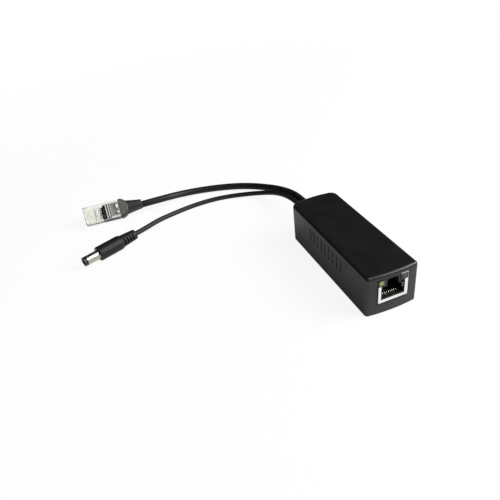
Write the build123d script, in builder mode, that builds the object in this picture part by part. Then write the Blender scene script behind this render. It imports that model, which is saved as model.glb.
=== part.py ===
from build123d import *
import os
from math import atan, cos, degrees, pi, radians, sin, tan

# A power over ethernet splitter: a black moulded case with a shielded network
# jack in its front end, and two short leads out of its rear end, one with a
# clear network plug and one with a barrel power plug.
# Millimetres. The case stands on its cover with its length along Y, the jack
# faces -Y, the leads leave towards +Y, and Z is up. The origin is the centre
# of the case's footprint, on the surface that it stands on.

# Case, drawn closely round the standard jack
CASE_LENGTH = 80.0
JACK_SIDE_ROOM = 3.6
JACK_HEADROOM = 0.5
FRONT_BOW = 1.0
REAR_BOW = 1.6
FRONT_CORNER_R = 1.8
REAR_CORNER_R = 4.5
INNER_CORNER_R = 0.4
TOP_EDGE_R = 1.6
BOTTOM_EDGE_R = 0.6
WALL = 2.0
ROOF = 2.0

# Bottom cover, which sits flush in a step inside the foot of the walls
COVER_THICK = 2.0
COVER_STEP = 1.0
COVER_GAP = 0.15
LIP_THICK = 1.2
LIP_HEIGHT = 1.6
HOOK_WIDTH = 5.0
HOOK_THICK = 1.2
HOOK_HEIGHT = 4.6
HOOK_BARB = 0.7
HOOK_FROM_END = 13.0

# Shallow grooves in the long walls
GROOVE_COUNT = 9
GROOVE_PITCH = 3.86
GROOVE_WIDTH = 1.4
GROOVE_HEIGHT = 8.2
GROOVE_DEPTH = 0.45
GROOVE_FROM_TOP = 3.1
GROOVE_CENTRE_Y = -0.45

# Circuit board
BOARD_THICK = 1.6
BOARD_EDGE_GAP = 0.4
BOARD_FROM_FRONT = 3.6
BOARD_FROM_REAR = 7.0
BOARD_STAND = 2.6
POST_R = 2.0
POST_PIN_R = 0.9
PIN_HOLE_GAP = 0.1
POST_FROM_EDGE = 2.75
POST_BEHIND_JACK = 3.9
POST_FROM_REAR = 3.5
KEEPER_DEPTH = 1.6
KEEPER_THICK = 1.6
KEEPER_BEFORE_JACK_END = 1.6
KEEPER_FROM_REAR = 11.0

# Network jack
JACK_WIDTH = 16.3
JACK_HEIGHT = 13.8
JACK_DEPTH = 21.3
JACK_SETBACK = 0.3
JACK_WINDOW_GAP = 0.25
SHIELD_THICK = 0.3
SHIELD_GAP = 0.1
PORT_WIDTH = 11.9
PORT_BOTTOM = 2.2
PORT_TOP = 9.0
PORT_DEPTH = 14.8
NOTCH_WIDTH = 6.1
NOTCH_FROM_TOP = 1.05
NOTCH_CORNER = 1.0
NOTCH_DEPTH = 13.0
FRAME_REVEAL = 0.35
LIGHT_SIZE = 3.5
LIGHT_FROM_TOP = 0.4
LIGHT_FROM_SIDE = 0.4
LIGHT_DEPTH = 8.0
LIGHT_GAP = 0.05
SPRING_HEIGHT = 3.0
SPRING_BOTTOM = 4.2
SPRING_LENGTH = 3.2
SPRING_PRESS = 0.42
PEG_R = 1.6
PEG_X = 5.7
PEG_FROM_FRONT = 9.0
PEG_LENGTH = 1.3
TAB_LENGTH_Y = 1.8
TAB_FROM_FRONT = 17.6

# Contacts of the jack and of the data plug
CONTACT_COUNT = 8
CONTACT_PITCH = 1.02
CONTACT_THICK = 0.34
CONTACT_WIDTH = 0.42
CONTACT_SLOT_WIDTH = 0.5
CONTACT_SLOT_DEPTH = 1.3
CONTACT_SLOT_FRONT = 2.4
CONTACT_SLOT_REAR = 15.8
CONTACT_SLOT_TOP = 5.6
CONTACT_UNDER = 0.9
CONTACT_TURN = 2.8
CONTACT_END_HEIGHT = 4.6

# Strain relief and the leads that leave it
RELIEF_WIDTH = 10.6
RELIEF_TOP = 15.6
RELIEF_GAP = 0.1
RELIEF_SEAT = 0.05
FLANGE_REACH = 1.2
FLANGE_THICK = 1.3
NOZZLE_ROOT_WIDTH = 10.2
NOZZLE_ROOT_HEIGHT = 7.0
NOZZLE_END_WIDTH = 8.8
NOZZLE_END_HEIGHT = 5.4
NOZZLE_LENGTH = 4.7
EXIT_HEIGHT = 11.25
LEAD_GAP = 0.25
DATA_CABLE_D = 4.4
POWER_CABLE_D = 3.0
DATA_CORE_D = 0.9
POWER_CORE_D = 1.2
CORE_BEND = 0.8
CORE_PITCH = 1.0
CORE_ROW_RISE = 0.55
DATA_DROPS = (3.1, 1.6)
POWER_DROP = 2.4

# Packages on the board: width, length and height of each body
ISOLATION_BODY = (12.6, 7.6, 5.6)
CONTROLLER_BODY = (4.9, 3.4, 1.6)
SWITCH_BODY = (3.8, 4.6, 1.6)
COUPLER_BODY = (3.6, 4.4, 3.4)
BRIDGE_BODY = (3.8, 3.8, 2.5)
DIODE_BODY = (2.6, 4.2, 2.2)
FINE_PITCH = 1.27
COUPLER_PITCH = 2.0
BRIDGE_PITCH = 2.5
LEAD_REACH = 1.0
SHORT_LEAD_REACH = 0.8
FINE_LEAD = 0.45
WIDE_LEAD = 0.6
TAB_LEAD = 1.4
LEAD_THICK = 0.25
LEAD_STAND = 0.15
PACKAGE_FROM_EDGE = 0.45
BRIDGE_X = 6.6

# Power transformer
CORE_WIDTH = 13.0
CORE_HEIGHT = 5.0
CORE_LEG = 2.0
CORE_CENTRE_LEG = 4.0
CORE_BACK = 1.8
CORE_HALF_LENGTH = 5.2
CORE_CENTRE_HEIGHT = 6.0
BOBBIN_WALL = 0.6
BOBBIN_GAP = 0.1
BOBBIN_HALF_HEIGHT = 5.0
WINDING_BUILD = 1.2
RAIL_LENGTH = 2.2

# Standing capacitors and the drum inductor between them
CAPACITOR_R = 3.15
CAPACITOR_HEIGHT = 11.5
CAPACITOR_X = 6.4
BEAD_HEIGHT = 1.2
BEAD_DEPTH = 0.3
INDUCTOR_R = 2.5
INDUCTOR_WAIST_R = 1.9
INDUCTOR_HEIGHT = 4.4
INDUCTOR_FLANGE = 0.8

# Chip parts
CHIP_LENGTH = 1.6
CHIP_WIDTH = 0.8
CHIP_HEIGHT = 0.8
CHIP_PITCH = 2.2
CHIP_FROM_EDGE = 1.95
RESISTOR_X = 3.6

# Data plug, which lies rolled over on its latch and one long edge
DATA_PLUG_REAR = (-85.4, 116.7)
DATA_PLUG_HEADING = 175.25
PLUG_WIDTH = 11.7
PLUG_HEIGHT = 6.6
PLUG_LENGTH = 23.0
PLUG_EDGE_R = 0.35
LATCH_ROOT = 0.9
LATCH_LENGTH = 16.0
LATCH_THICK = 1.1
LATCH_WIDTH = 6.0
LATCH_TIP_WIDTH = 3.3
LATCH_SHOULDER = 8.5
LATCH_DROP = 5.0
BLADE_SLOT_WIDTH = 0.56
BLADE_SLOT_LENGTH = 6.8
BLADE_SLOT_DEPTH = 3.2
BLADE_WIDTH = 0.32
BLADE_HEIGHT = 2.8
BLADE_FRONT = 0.7
BLADE_LENGTH = 5.8
WIRE_CHANNEL_HEIGHT = 1.1
WIRE_CHANNEL_FRONT = 1.2
WIRE_D = 0.92
JACKET_FRONT = 11.2
JACKET_WIDTH = 9.4
JACKET_HEIGHT = 3.3
JACKET_GAP = 0.1
JACKET_CORNER = 2.0
BAR_FRONT = 14.2
BAR_LENGTH = 0.9
BAR_SPACING = 1.5
BAR_DEPTH = 1.0
RECESS_FRONT = 17.0
RECESS_LENGTH = 3.9
RECESS_WIDTH = 8.4
RECESS_DEPTH = 1.3

# Boot moulded over the rear of the data plug
BOOT_WIDTH = 12.3
BOOT_HEIGHT = 7.2
BOOT_HEAD = 6.6
BOOT_CORNER_R = 2.0
BOOT_LENGTH = 15.9
NECK_FRONT_WIDTH = 9.8
NECK_FRONT_HEIGHT = 6.6
NECK_END_D = 5.9
NECK_START = 3.6
NECK_RIM_D = 6.9
NECK_RIM_LENGTH = 1.0

# Power plug, 5.5 mm barrel with a 2.1 mm bore
POWER_PLUG_REAR = (-96.8, 86.1)
POWER_PLUG_HEADING = 202.7
BARREL_D = 5.5
BARREL_LENGTH = 9.6
BARREL_WALL = 0.4
BARREL_ROOT_D = 6.4
BARREL_ROOT_LENGTH = 3.0
TIP_LENGTH = 1.8
INSULATOR_WALL = 0.6
FIT_GAP = 0.03
CENTRE_BORE_D = 2.1
CENTRE_SETBACK = 0.9
CENTRE_BORE_DEPTH = 8.5
GRIP_D = 8.8
GRIP_LENGTH = 15.9
GRIP_CHAMFER = 0.7
GRIP_SHOULDER = 1.6
RIB_COUNT = 5
RIB_LENGTH = 1.5
RIB_SPACE = 0.81
RIB_FRONT_D = 7.4
RIB_REAR_D = 6.2
RIB_CORE_D = 4.8

# Heights and places that follow from the sizes above
COVER_TOP = COVER_THICK
BOARD_BOTTOM = COVER_TOP + BOARD_STAND
BOARD_TOP = BOARD_BOTTOM + BOARD_THICK
CASE_WIDTH = JACK_WIDTH + 2 * (JACK_SIDE_ROOM + WALL)
CASE_HEIGHT = BOARD_TOP + JACK_HEIGHT + JACK_HEADROOM + ROOF
ROOF_UNDERSIDE = CASE_HEIGHT - ROOF
INNER_HALF = CASE_WIDTH / 2 - WALL
BOARD_HALF = INNER_HALF - BOARD_EDGE_GAP
BOARD_FRONT = -CASE_LENGTH / 2 + BOARD_FROM_FRONT
BOARD_REAR = CASE_LENGTH / 2 - BOARD_FROM_REAR
HOOK_Y = CASE_LENGTH / 2 - HOOK_FROM_END
JACK_FRONT = -CASE_LENGTH / 2 + JACK_SETBACK
JACK_REAR = JACK_FRONT + JACK_DEPTH
JACK_BOTTOM = BOARD_TOP
JACK_TOP = JACK_BOTTOM + JACK_HEIGHT
LIGHT_CENTRE_X = JACK_WIDTH / 2 - LIGHT_FROM_SIDE - LIGHT_SIZE / 2
LIGHT_CENTRE_Z = JACK_TOP - LIGHT_FROM_TOP - LIGHT_SIZE / 2
NOTCH_TOP = JACK_TOP - NOTCH_FROM_TOP
PORT_CEILING = JACK_BOTTOM + PORT_TOP
NOZZLE_START = CASE_LENGTH / 2 + FLANGE_THICK
LEADS_WIDTH = DATA_CABLE_D + POWER_CABLE_D + LEAD_GAP
DATA_EXIT_X = LEADS_WIDTH / 2 - DATA_CABLE_D / 2
POWER_EXIT_X = -LEADS_WIDTH / 2 + POWER_CABLE_D / 2
EXIT_Y = NOZZLE_START + NOZZLE_LENGTH

os.makedirs("parts", exist_ok=True)


def save(piece, name):
    """Label a finished sub-part and write its own STEP file."""
    piece.part.label = name
    export_step(piece.part, "parts/" + name + ".step")


def end_arc(bow, inset):
    """How far an end's arc, drawn in by an inset, lies inside the straight end.

    The arc keeps its centre, so both ends of the answer come from one circle:
    the first is for its middle and the second for its ends at the walls.
    """
    half = CASE_WIDTH / 2
    radius = (half ** 2 + bow ** 2) / (2 * bow)
    rise = (radius - inset) ** 2 - (half - inset) ** 2
    return inset, radius - rise ** 0.5


def case_outline(inset, height):
    """Plan of the case drawn in by an inset, on a level plane at a height."""
    half = CASE_WIDTH / 2 - inset
    end = CASE_LENGTH / 2
    front_middle, front_side = end_arc(FRONT_BOW, inset)
    rear_middle, rear_side = end_arc(REAR_BOW, inset)
    with BuildSketch(Plane.XY.offset(height)) as plan:
        with BuildLine():
            ThreePointArc((-half, front_side - end), (0, front_middle - end), (half, front_side - end))
            Line((half, front_side - end), (half, end - rear_side))
            ThreePointArc((half, end - rear_side), (0, end - rear_middle), (-half, end - rear_side))
            Line((-half, end - rear_side), (-half, front_side - end))
        make_face()
        fillet(plan.vertices().group_by(Axis.Y)[0], max(FRONT_CORNER_R - inset, INNER_CORNER_R))
        fillet(plan.vertices().group_by(Axis.Y)[-1], max(REAR_CORNER_R - inset, INNER_CORNER_R))
    return plan.sketch


def both_sides(x, ys):
    """Points at a distance either side of the middle plane, for each Y."""
    return [(side * x, y) for y in ys for side in (-1, 1)]


# Upper case: roof and four walls in one moulding
relief_half = RELIEF_WIDTH / 2
groove_plane = Plane(
    origin=(CASE_WIDTH / 2, GROOVE_CENTRE_Y, CASE_HEIGHT - GROOVE_FROM_TOP - GROOVE_HEIGHT / 2),
    x_dir=(0, 1, 0),
    z_dir=(1, 0, 0),
)
hook_top = COVER_TOP + HOOK_HEIGHT
barb_bottom = COVER_TOP + HOOK_HEIGHT * 0.5
keeper_ys = (JACK_REAR - KEEPER_BEFORE_JACK_END, BOARD_REAR - KEEPER_FROM_REAR)

with BuildPart() as upper_case:
    extrude(case_outline(0, 0), amount=CASE_HEIGHT)
    fillet(upper_case.faces().sort_by(Axis.Z)[-1].edges(), TOP_EDGE_R)
    fillet(upper_case.faces().sort_by(Axis.Z)[0].edges(), BOTTOM_EDGE_R)
    extrude(case_outline(WALL, 0), amount=ROOF_UNDERSIDE, mode=Mode.SUBTRACT)
    extrude(case_outline(COVER_STEP, 0), amount=COVER_TOP, mode=Mode.SUBTRACT)
    # Keepers that hold the board down on its posts
    with BuildSketch(Plane.XY.offset(BOARD_TOP)):
        with Locations(*both_sides(INNER_HALF - KEEPER_DEPTH / 2 + WALL / 4, keeper_ys)):
            Rectangle(KEEPER_DEPTH + WALL / 2, KEEPER_THICK)
    extrude(amount=ROOF_UNDERSIDE - BOARD_TOP)
    # Window for the jack
    with BuildSketch(Plane.XZ.offset(CASE_LENGTH / 2 + WALL)):
        with Locations((0, JACK_BOTTOM + JACK_HEIGHT / 2)):
            Rectangle(JACK_WIDTH + 2 * JACK_WINDOW_GAP, JACK_HEIGHT + 2 * JACK_WINDOW_GAP)
    extrude(amount=-3 * WALL, mode=Mode.SUBTRACT)
    # Arched doorway for the strain relief, closed below by the cover
    with BuildSketch(Plane.XZ.offset(-CASE_LENGTH / 2 - WALL)):
        with Locations((0, (COVER_TOP + RELIEF_TOP - relief_half) / 2)):
            Rectangle(RELIEF_WIDTH, RELIEF_TOP - relief_half - COVER_TOP)
        with Locations((0, RELIEF_TOP - relief_half)):
            Circle(relief_half)
        split(bisect_by=Plane(origin=(0, 0, COVER_TOP), z_dir=(0, 0, 1)), keep=Keep.TOP)
    extrude(amount=3 * WALL, mode=Mode.SUBTRACT)
    # Row of upright grooves in both long walls
    for groove_offset, groove_cut in ((0, -GROOVE_DEPTH), (-CASE_WIDTH, GROOVE_DEPTH)):
        with BuildSketch(groove_plane.offset(groove_offset)):
            with GridLocations(GROOVE_PITCH, 1, GROOVE_COUNT, 1):
                SlotOverall(GROOVE_HEIGHT, GROOVE_WIDTH, rotation=90)
        extrude(amount=groove_cut, mode=Mode.SUBTRACT)
    # Pockets that the cover's hooks snap into
    with BuildSketch(Plane.XY.offset(barb_bottom)):
        with Locations(*both_sides(INNER_HALF, (-HOOK_Y, HOOK_Y))):
            Rectangle(2 * (HOOK_BARB + COVER_GAP), HOOK_WIDTH + 2 * COVER_GAP)
    extrude(amount=hook_top - barb_bottom, mode=Mode.SUBTRACT)
save(upper_case, "upper_case")

# Bottom cover: flush plate, locating lip, four snap hooks and four posts
lip_outer = WALL + COVER_GAP
hook_outer = INNER_HALF - COVER_GAP
hook_inner = hook_outer - HOOK_THICK
hook_reach = hook_outer + HOOK_BARB
relief_clear = RELIEF_WIDTH + 2 * FLANGE_REACH + 4 * COVER_GAP
post_points = both_sides(BOARD_HALF - POST_FROM_EDGE, (JACK_REAR + POST_BEHIND_JACK, BOARD_REAR - POST_FROM_REAR))

with BuildPart() as bottom_cover:
    extrude(case_outline(COVER_STEP + COVER_GAP, 0), amount=COVER_THICK)
    extrude(case_outline(lip_outer, COVER_TOP), amount=LIP_HEIGHT)
    extrude(case_outline(lip_outer + LIP_THICK, COVER_TOP), amount=LIP_HEIGHT, mode=Mode.SUBTRACT)
    with BuildSketch(Plane.XY.offset(COVER_TOP)):
        with Locations((0, CASE_LENGTH / 2)):
            Rectangle(relief_clear, 4 * (WALL + LIP_THICK))
    extrude(amount=LIP_HEIGHT, mode=Mode.SUBTRACT)
    for hook_y in (-HOOK_Y, HOOK_Y):
        with BuildSketch(Plane.XZ.offset(-hook_y)) as hooks:
            with BuildLine():
                Polyline(
                    (hook_inner, COVER_TOP),
                    (hook_outer, COVER_TOP),
                    (hook_outer, barb_bottom),
                    (hook_reach, barb_bottom + COVER_GAP),
                    (hook_reach, barb_bottom + HOOK_BARB),
                    (hook_outer, hook_top),
                    (hook_inner, hook_top),
                    close=True,
                )
            make_face()
            mirror(about=Plane.YZ)
        extrude(amount=HOOK_WIDTH / 2, both=True)
    with BuildSketch(Plane.XY.offset(COVER_TOP)):
        with Locations(*post_points):
            Circle(POST_R)
    extrude(amount=BOARD_STAND)
    with BuildSketch(Plane.XY.offset(BOARD_BOTTOM)):
        with Locations(*post_points):
            Circle(POST_PIN_R)
    extrude(amount=BOARD_THICK)
save(bottom_cover, "bottom_cover")

# Circuit board, notched round the hooks and drilled for posts, pegs and tabs
board_length = BOARD_REAR - BOARD_FRONT
board_middle = (BOARD_REAR + BOARD_FRONT) / 2
notch_depth = BOARD_HALF - hook_inner + 2 * COVER_GAP
peg_y = JACK_FRONT + PEG_FROM_FRONT
tab_y = JACK_FRONT + TAB_FROM_FRONT
tab_x = JACK_WIDTH / 2 - SHIELD_THICK / 2

with BuildPart() as circuit_board:
    with BuildSketch(Plane.XY.offset(BOARD_BOTTOM)):
        with Locations((0, board_middle)):
            Rectangle(2 * BOARD_HALF, board_length)
        with Locations(*both_sides(BOARD_HALF, (-HOOK_Y, HOOK_Y))):
            Rectangle(2 * notch_depth, HOOK_WIDTH + 4 * COVER_GAP, mode=Mode.SUBTRACT)
        with Locations(*post_points):
            Circle(POST_PIN_R + PIN_HOLE_GAP, mode=Mode.SUBTRACT)
        with Locations(*both_sides(PEG_X, (peg_y,))):
            Circle(PEG_R + PIN_HOLE_GAP, mode=Mode.SUBTRACT)
        with Locations(*both_sides(tab_x, (tab_y,))):
            Rectangle(
                SHIELD_THICK + 2 * PIN_HOLE_GAP,
                TAB_LENGTH_Y + 2 * PIN_HOLE_GAP,
                mode=Mode.SUBTRACT,
            )
    extrude(amount=BOARD_THICK)
save(circuit_board, "circuit_board")

# Jack shield: folded sheet, with a frame round the port and two side springs
front_plane = Plane.XZ.offset(-JACK_FRONT)
shield_inner_half = JACK_WIDTH / 2 - SHIELD_THICK
frame_half = PORT_WIDTH / 2 + FRAME_REVEAL
frame_floor = JACK_BOTTOM + PORT_BOTTOM - FRAME_REVEAL
frame_sill = LIGHT_CENTRE_Z - LIGHT_SIZE / 2
light_points = [(side * LIGHT_CENTRE_X, LIGHT_CENTRE_Z) for side in (-1, 1)]

with BuildPart() as jack_shield:
    with BuildSketch(front_plane):
        with Locations((0, JACK_BOTTOM + JACK_HEIGHT / 2)):
            Rectangle(JACK_WIDTH, JACK_HEIGHT)
    extrude(amount=-JACK_DEPTH)
    fillet(jack_shield.edges().filter_by(Axis.Y).group_by(Axis.Z)[-1], SHIELD_THICK)
    with BuildSketch(front_plane.offset(-SHIELD_THICK)):
        with Locations((0, JACK_BOTTOM + (JACK_HEIGHT - SHIELD_THICK) / 2)):
            Rectangle(2 * shield_inner_half, JACK_HEIGHT - SHIELD_THICK)
    extrude(amount=-(JACK_DEPTH - 2 * SHIELD_THICK), mode=Mode.SUBTRACT)
    # Window: narrow beside the port, and the full width above it
    with BuildSketch(front_plane):
        with Locations((0, (frame_floor + frame_sill) / 2)):
            Rectangle(2 * frame_half, frame_sill - frame_floor)
        with Locations((0, (frame_sill + JACK_TOP - SHIELD_THICK) / 2)):
            Rectangle(2 * shield_inner_half, JACK_TOP - SHIELD_THICK - frame_sill)
    extrude(amount=-SHIELD_THICK, mode=Mode.SUBTRACT)
    # Springs folded back from the sides of the frame
    with BuildSketch(Plane.XY.offset(JACK_BOTTOM + SPRING_BOTTOM)):
        with BuildLine():
            Polyline(
                (frame_half, JACK_FRONT),
                (frame_half + SHIELD_THICK, JACK_FRONT),
                (frame_half - SPRING_PRESS + SHIELD_THICK, JACK_FRONT + SPRING_LENGTH / 2),
                (frame_half + SHIELD_THICK, JACK_FRONT + SPRING_LENGTH),
                (frame_half, JACK_FRONT + SPRING_LENGTH),
                (frame_half - SPRING_PRESS, JACK_FRONT + SPRING_LENGTH / 2),
                close=True,
            )
        make_face()
        mirror(about=Plane.YZ)
    extrude(amount=SPRING_HEIGHT)
    # Tabs that pass through the board
    with BuildSketch(Plane.XY.offset(JACK_BOTTOM)):
        with Locations(*both_sides(tab_x, (tab_y,))):
            Rectangle(SHIELD_THICK, TAB_LENGTH_Y)
    extrude(amount=-PEG_LENGTH)
save(jack_shield, "jack_shield")

# Jack housing: black moulding inside the shield
housing_half = shield_inner_half - SHIELD_GAP
housing_top = JACK_TOP - SHIELD_THICK - SHIELD_GAP
housing_depth = JACK_DEPTH - 2 * (SHIELD_THICK + SHIELD_GAP)
housing_plane = front_plane.offset(-(SHIELD_THICK + SHIELD_GAP))
pocket_size = LIGHT_SIZE + 2 * LIGHT_GAP
port_floor = JACK_BOTTOM + PORT_BOTTOM
contact_xs = [(index - (CONTACT_COUNT - 1) / 2) * CONTACT_PITCH for index in range(CONTACT_COUNT)]
slot_length = CONTACT_SLOT_REAR - CONTACT_SLOT_FRONT
slot_middle = (CONTACT_SLOT_REAR + CONTACT_SLOT_FRONT) / 2

with BuildPart() as jack_housing:
    with BuildSketch(housing_plane):
        with Locations((0, (JACK_BOTTOM + housing_top) / 2)):
            Rectangle(2 * housing_half, housing_top - JACK_BOTTOM)
    extrude(amount=-housing_depth)
    with BuildSketch(front_plane):
        with Locations((0, JACK_BOTTOM + (PORT_BOTTOM + PORT_TOP) / 2)):
            Rectangle(PORT_WIDTH, PORT_TOP - PORT_BOTTOM)
    extrude(amount=-PORT_DEPTH, mode=Mode.SUBTRACT)
    # Notch for the plug's latch, with its upper corners cut off
    notch_half = NOTCH_WIDTH / 2
    with BuildSketch(front_plane):
        with BuildLine():
            Polyline(
                (-notch_half, PORT_CEILING),
                (-notch_half, NOTCH_TOP - NOTCH_CORNER),
                (NOTCH_CORNER - notch_half, NOTCH_TOP),
                (notch_half - NOTCH_CORNER, NOTCH_TOP),
                (notch_half, NOTCH_TOP - NOTCH_CORNER),
                (notch_half, PORT_CEILING),
                close=True,
            )
        make_face()
    extrude(amount=-NOTCH_DEPTH, mode=Mode.SUBTRACT)
    # Comb of slots in the port's floor and rear wall for the contact wires
    with BuildSketch(Plane.XY.offset(port_floor - CONTACT_SLOT_DEPTH)):
        with Locations(*[(x, JACK_FRONT + slot_middle) for x in contact_xs]):
            Rectangle(CONTACT_SLOT_WIDTH, slot_length)
    extrude(amount=CONTACT_SLOT_DEPTH, mode=Mode.SUBTRACT)
    with BuildSketch(Plane.XY.offset(port_floor)):
        with Locations(*[(x, JACK_FRONT + (PORT_DEPTH + CONTACT_SLOT_REAR) / 2) for x in contact_xs]):
            Rectangle(CONTACT_SLOT_WIDTH, CONTACT_SLOT_REAR - PORT_DEPTH)
    extrude(amount=CONTACT_SLOT_TOP, mode=Mode.SUBTRACT)
    with BuildSketch(front_plane):
        with Locations(*light_points):
            Rectangle(pocket_size, pocket_size)
    extrude(amount=-(LIGHT_DEPTH + LIGHT_GAP), mode=Mode.SUBTRACT)
    # Reliefs behind the side springs
    with BuildSketch(Plane.XY.offset(JACK_BOTTOM + SPRING_BOTTOM - SHIELD_GAP)):
        with Locations((0, JACK_FRONT + (SPRING_LENGTH + SHIELD_GAP) / 2)):
            Rectangle(
                2 * (frame_half + SHIELD_THICK + SHIELD_GAP),
                SPRING_LENGTH + SHIELD_GAP,
            )
    extrude(amount=SPRING_HEIGHT + 2 * SHIELD_GAP, mode=Mode.SUBTRACT)
    with BuildSketch(Plane.XY.offset(JACK_BOTTOM)):
        with Locations(*both_sides(PEG_X, (peg_y,))):
            Circle(PEG_R)
    extrude(amount=-PEG_LENGTH)
save(jack_housing, "jack_housing")

# Jack contacts: wires that run forward under the port's floor, then fold back
with BuildPart() as jack_contacts:
    for contact_x in contact_xs:
        contact_plane = Plane(origin=(contact_x, JACK_FRONT, port_floor), x_dir=(0, 1, 0), z_dir=(1, 0, 0))
        with BuildLine(contact_plane):
            wire = FilletPolyline(
                (CONTACT_SLOT_REAR, -CONTACT_UNDER),
                (CONTACT_TURN, -CONTACT_UNDER),
                (CONTACT_TURN + 1.0, 0.9),
                (CONTACT_SLOT_REAR - CONTACT_THICK, CONTACT_END_HEIGHT),
                radius=CONTACT_THICK,
            )
        with BuildSketch(Plane(origin=wire @ 0, x_dir=(1, 0, 0), z_dir=wire % 0)):
            Rectangle(CONTACT_WIDTH, CONTACT_THICK)
        sweep(path=wire)
save(jack_contacts, "jack_contacts")

# Indicator lights in the top corners of the jack
for light_name, light_side in (("left_light", -1), ("right_light", 1)):
    with BuildPart() as indicator:
        with BuildSketch(front_plane):
            with Locations((light_side * LIGHT_CENTRE_X, LIGHT_CENTRE_Z)):
                Rectangle(LIGHT_SIZE - 2 * LIGHT_GAP, LIGHT_SIZE - 2 * LIGHT_GAP)
        extrude(amount=-LIGHT_DEPTH)
        fillet(indicator.edges().filter_by(Axis.Y), 0.4)
        chamfer(indicator.faces().sort_by(Axis.Y)[0].edges(), 0.2)
    save(indicator, light_name)


# Rows of parts on the board share out the room between the jack and the cores
isolation_length = ISOLATION_BODY[1] + 2 * LEAD_REACH
bridge_length = BRIDGE_BODY[1] + 2 * SHORT_LEAD_REACH
row_lengths = (isolation_length, 2 * CORE_HALF_LENGTH, 2 * CAPACITOR_R, bridge_length)
rows_end = BOARD_REAR - DATA_DROPS[0] - DATA_CORE_D / 2 - LEAD_STAND
row_gap = (rows_end - JACK_REAR - sum(row_lengths)) / len(row_lengths)
row_starts = [
    JACK_REAR + row_gap * (index + 1) + sum(row_lengths[:index]) for index in range(len(row_lengths))
]
ISOLATION_Y, CORE_Y, CAPACITOR_Y, BRIDGE_Y = [
    start + length / 2 for start, length in zip(row_starts, row_lengths)
]
edge_of_board = BOARD_HALF - PACKAGE_FROM_EDGE


def package(name, centre, body, lead_count, lead_pitch, lead_reach, lead_width):
    """A moulded package with bent leads along both of its Y sides."""
    x, y = centre
    width, length, height = body
    lead_xs = [(index - (lead_count - 1) / 2) * lead_pitch for index in range(lead_count)]
    lead_height = height * 0.45
    with BuildPart() as chip:
        with BuildSketch(Plane.XY.offset(BOARD_TOP + LEAD_STAND)):
            with Locations((x, y)):
                Rectangle(width, length)
        extrude(amount=height - LEAD_STAND)
        chamfer(chip.faces().sort_by(Axis.Z)[-1].edges(), LEAD_STAND)
        for side in (-1, 1):
            edge = side * length / 2
            tip = side * (length / 2 + lead_reach)
            shin = side * (length / 2 + lead_reach * 0.45)
            for lead_x in lead_xs:
                with BuildSketch(Plane(origin=(x + lead_x, y, BOARD_TOP), x_dir=(0, 1, 0), z_dir=(1, 0, 0))):
                    with BuildLine():
                        Polyline(
                            (edge, lead_height),
                            (edge, lead_height - LEAD_THICK),
                            (shin - side * LEAD_THICK, lead_height - LEAD_THICK),
                            (shin - side * LEAD_THICK, 0),
                            (tip, 0),
                            (tip, LEAD_THICK),
                            (shin, LEAD_THICK),
                            (shin, lead_height),
                            close=True,
                        )
                    make_face()
                extrude(amount=lead_width / 2, both=True)
    save(chip, name)


switch_x = edge_of_board - SWITCH_BODY[0] / 2
coupler_x = edge_of_board - COUPLER_BODY[0] / 2
diode_x = edge_of_board - DIODE_BODY[0] / 2
package("isolation_transformer", (0, ISOLATION_Y), ISOLATION_BODY, 8, FINE_PITCH, LEAD_REACH, FINE_LEAD)
package("power_controller", (0, BRIDGE_Y), CONTROLLER_BODY, 4, FINE_PITCH, LEAD_REACH, FINE_LEAD)
package("power_switch", (switch_x, CORE_Y), SWITCH_BODY, 3, FINE_PITCH, SHORT_LEAD_REACH, FINE_LEAD)
package("optocoupler", (-coupler_x, CORE_Y), COUPLER_BODY, 2, COUPLER_PITCH, LEAD_REACH, WIDE_LEAD)
package("left_bridge_rectifier", (-BRIDGE_X, BRIDGE_Y), BRIDGE_BODY, 2, BRIDGE_PITCH, SHORT_LEAD_REACH, WIDE_LEAD)
package("right_bridge_rectifier", (BRIDGE_X, BRIDGE_Y), BRIDGE_BODY, 2, BRIDGE_PITCH, SHORT_LEAD_REACH, WIDE_LEAD)
package("output_diode", (diode_x, ISOLATION_Y), DIODE_BODY, 1, FINE_PITCH, SHORT_LEAD_REACH, TAB_LEAD)

# Power transformer: two E halves of core through a wound bobbin
core_z = BOARD_TOP + CORE_CENTRE_HEIGHT
window_half = CORE_WIDTH / 2 - CORE_LEG
spool_half = CORE_CENTRE_LEG / 2 + BOBBIN_GAP
spool_half_height = CORE_HEIGHT / 2 + BOBBIN_GAP
leg_length = CORE_HALF_LENGTH - CORE_BACK

for core_name, core_side in (("front_core_half", -1), ("rear_core_half", 1)):
    leg_middle = CORE_Y + core_side * CORE_HALF_LENGTH / 2
    outer_leg_x = (CORE_WIDTH - CORE_LEG) / 2
    with BuildPart() as core_half:
        with BuildSketch(Plane.XY.offset(core_z - CORE_HEIGHT / 2)):
            with Locations((0, CORE_Y + core_side * (CORE_HALF_LENGTH - CORE_BACK / 2))):
                Rectangle(CORE_WIDTH, CORE_BACK)
            with Locations((0, leg_middle)):
                Rectangle(CORE_CENTRE_LEG, CORE_HALF_LENGTH)
            with Locations((-outer_leg_x, leg_middle), (outer_leg_x, leg_middle)):
                Rectangle(CORE_LEG, CORE_HALF_LENGTH)
        extrude(amount=CORE_HEIGHT)
    save(core_half, core_name)

bobbin_half_length = leg_length - BOBBIN_GAP
flange_half = window_half - BOBBIN_GAP
flange_plane = Plane.XZ.offset(-(CORE_Y - bobbin_half_length))
rail_top = core_z - CORE_HEIGHT / 2 - BOBBIN_GAP
rail_reach = bobbin_half_length - BOBBIN_WALL + RAIL_LENGTH / 2

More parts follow.
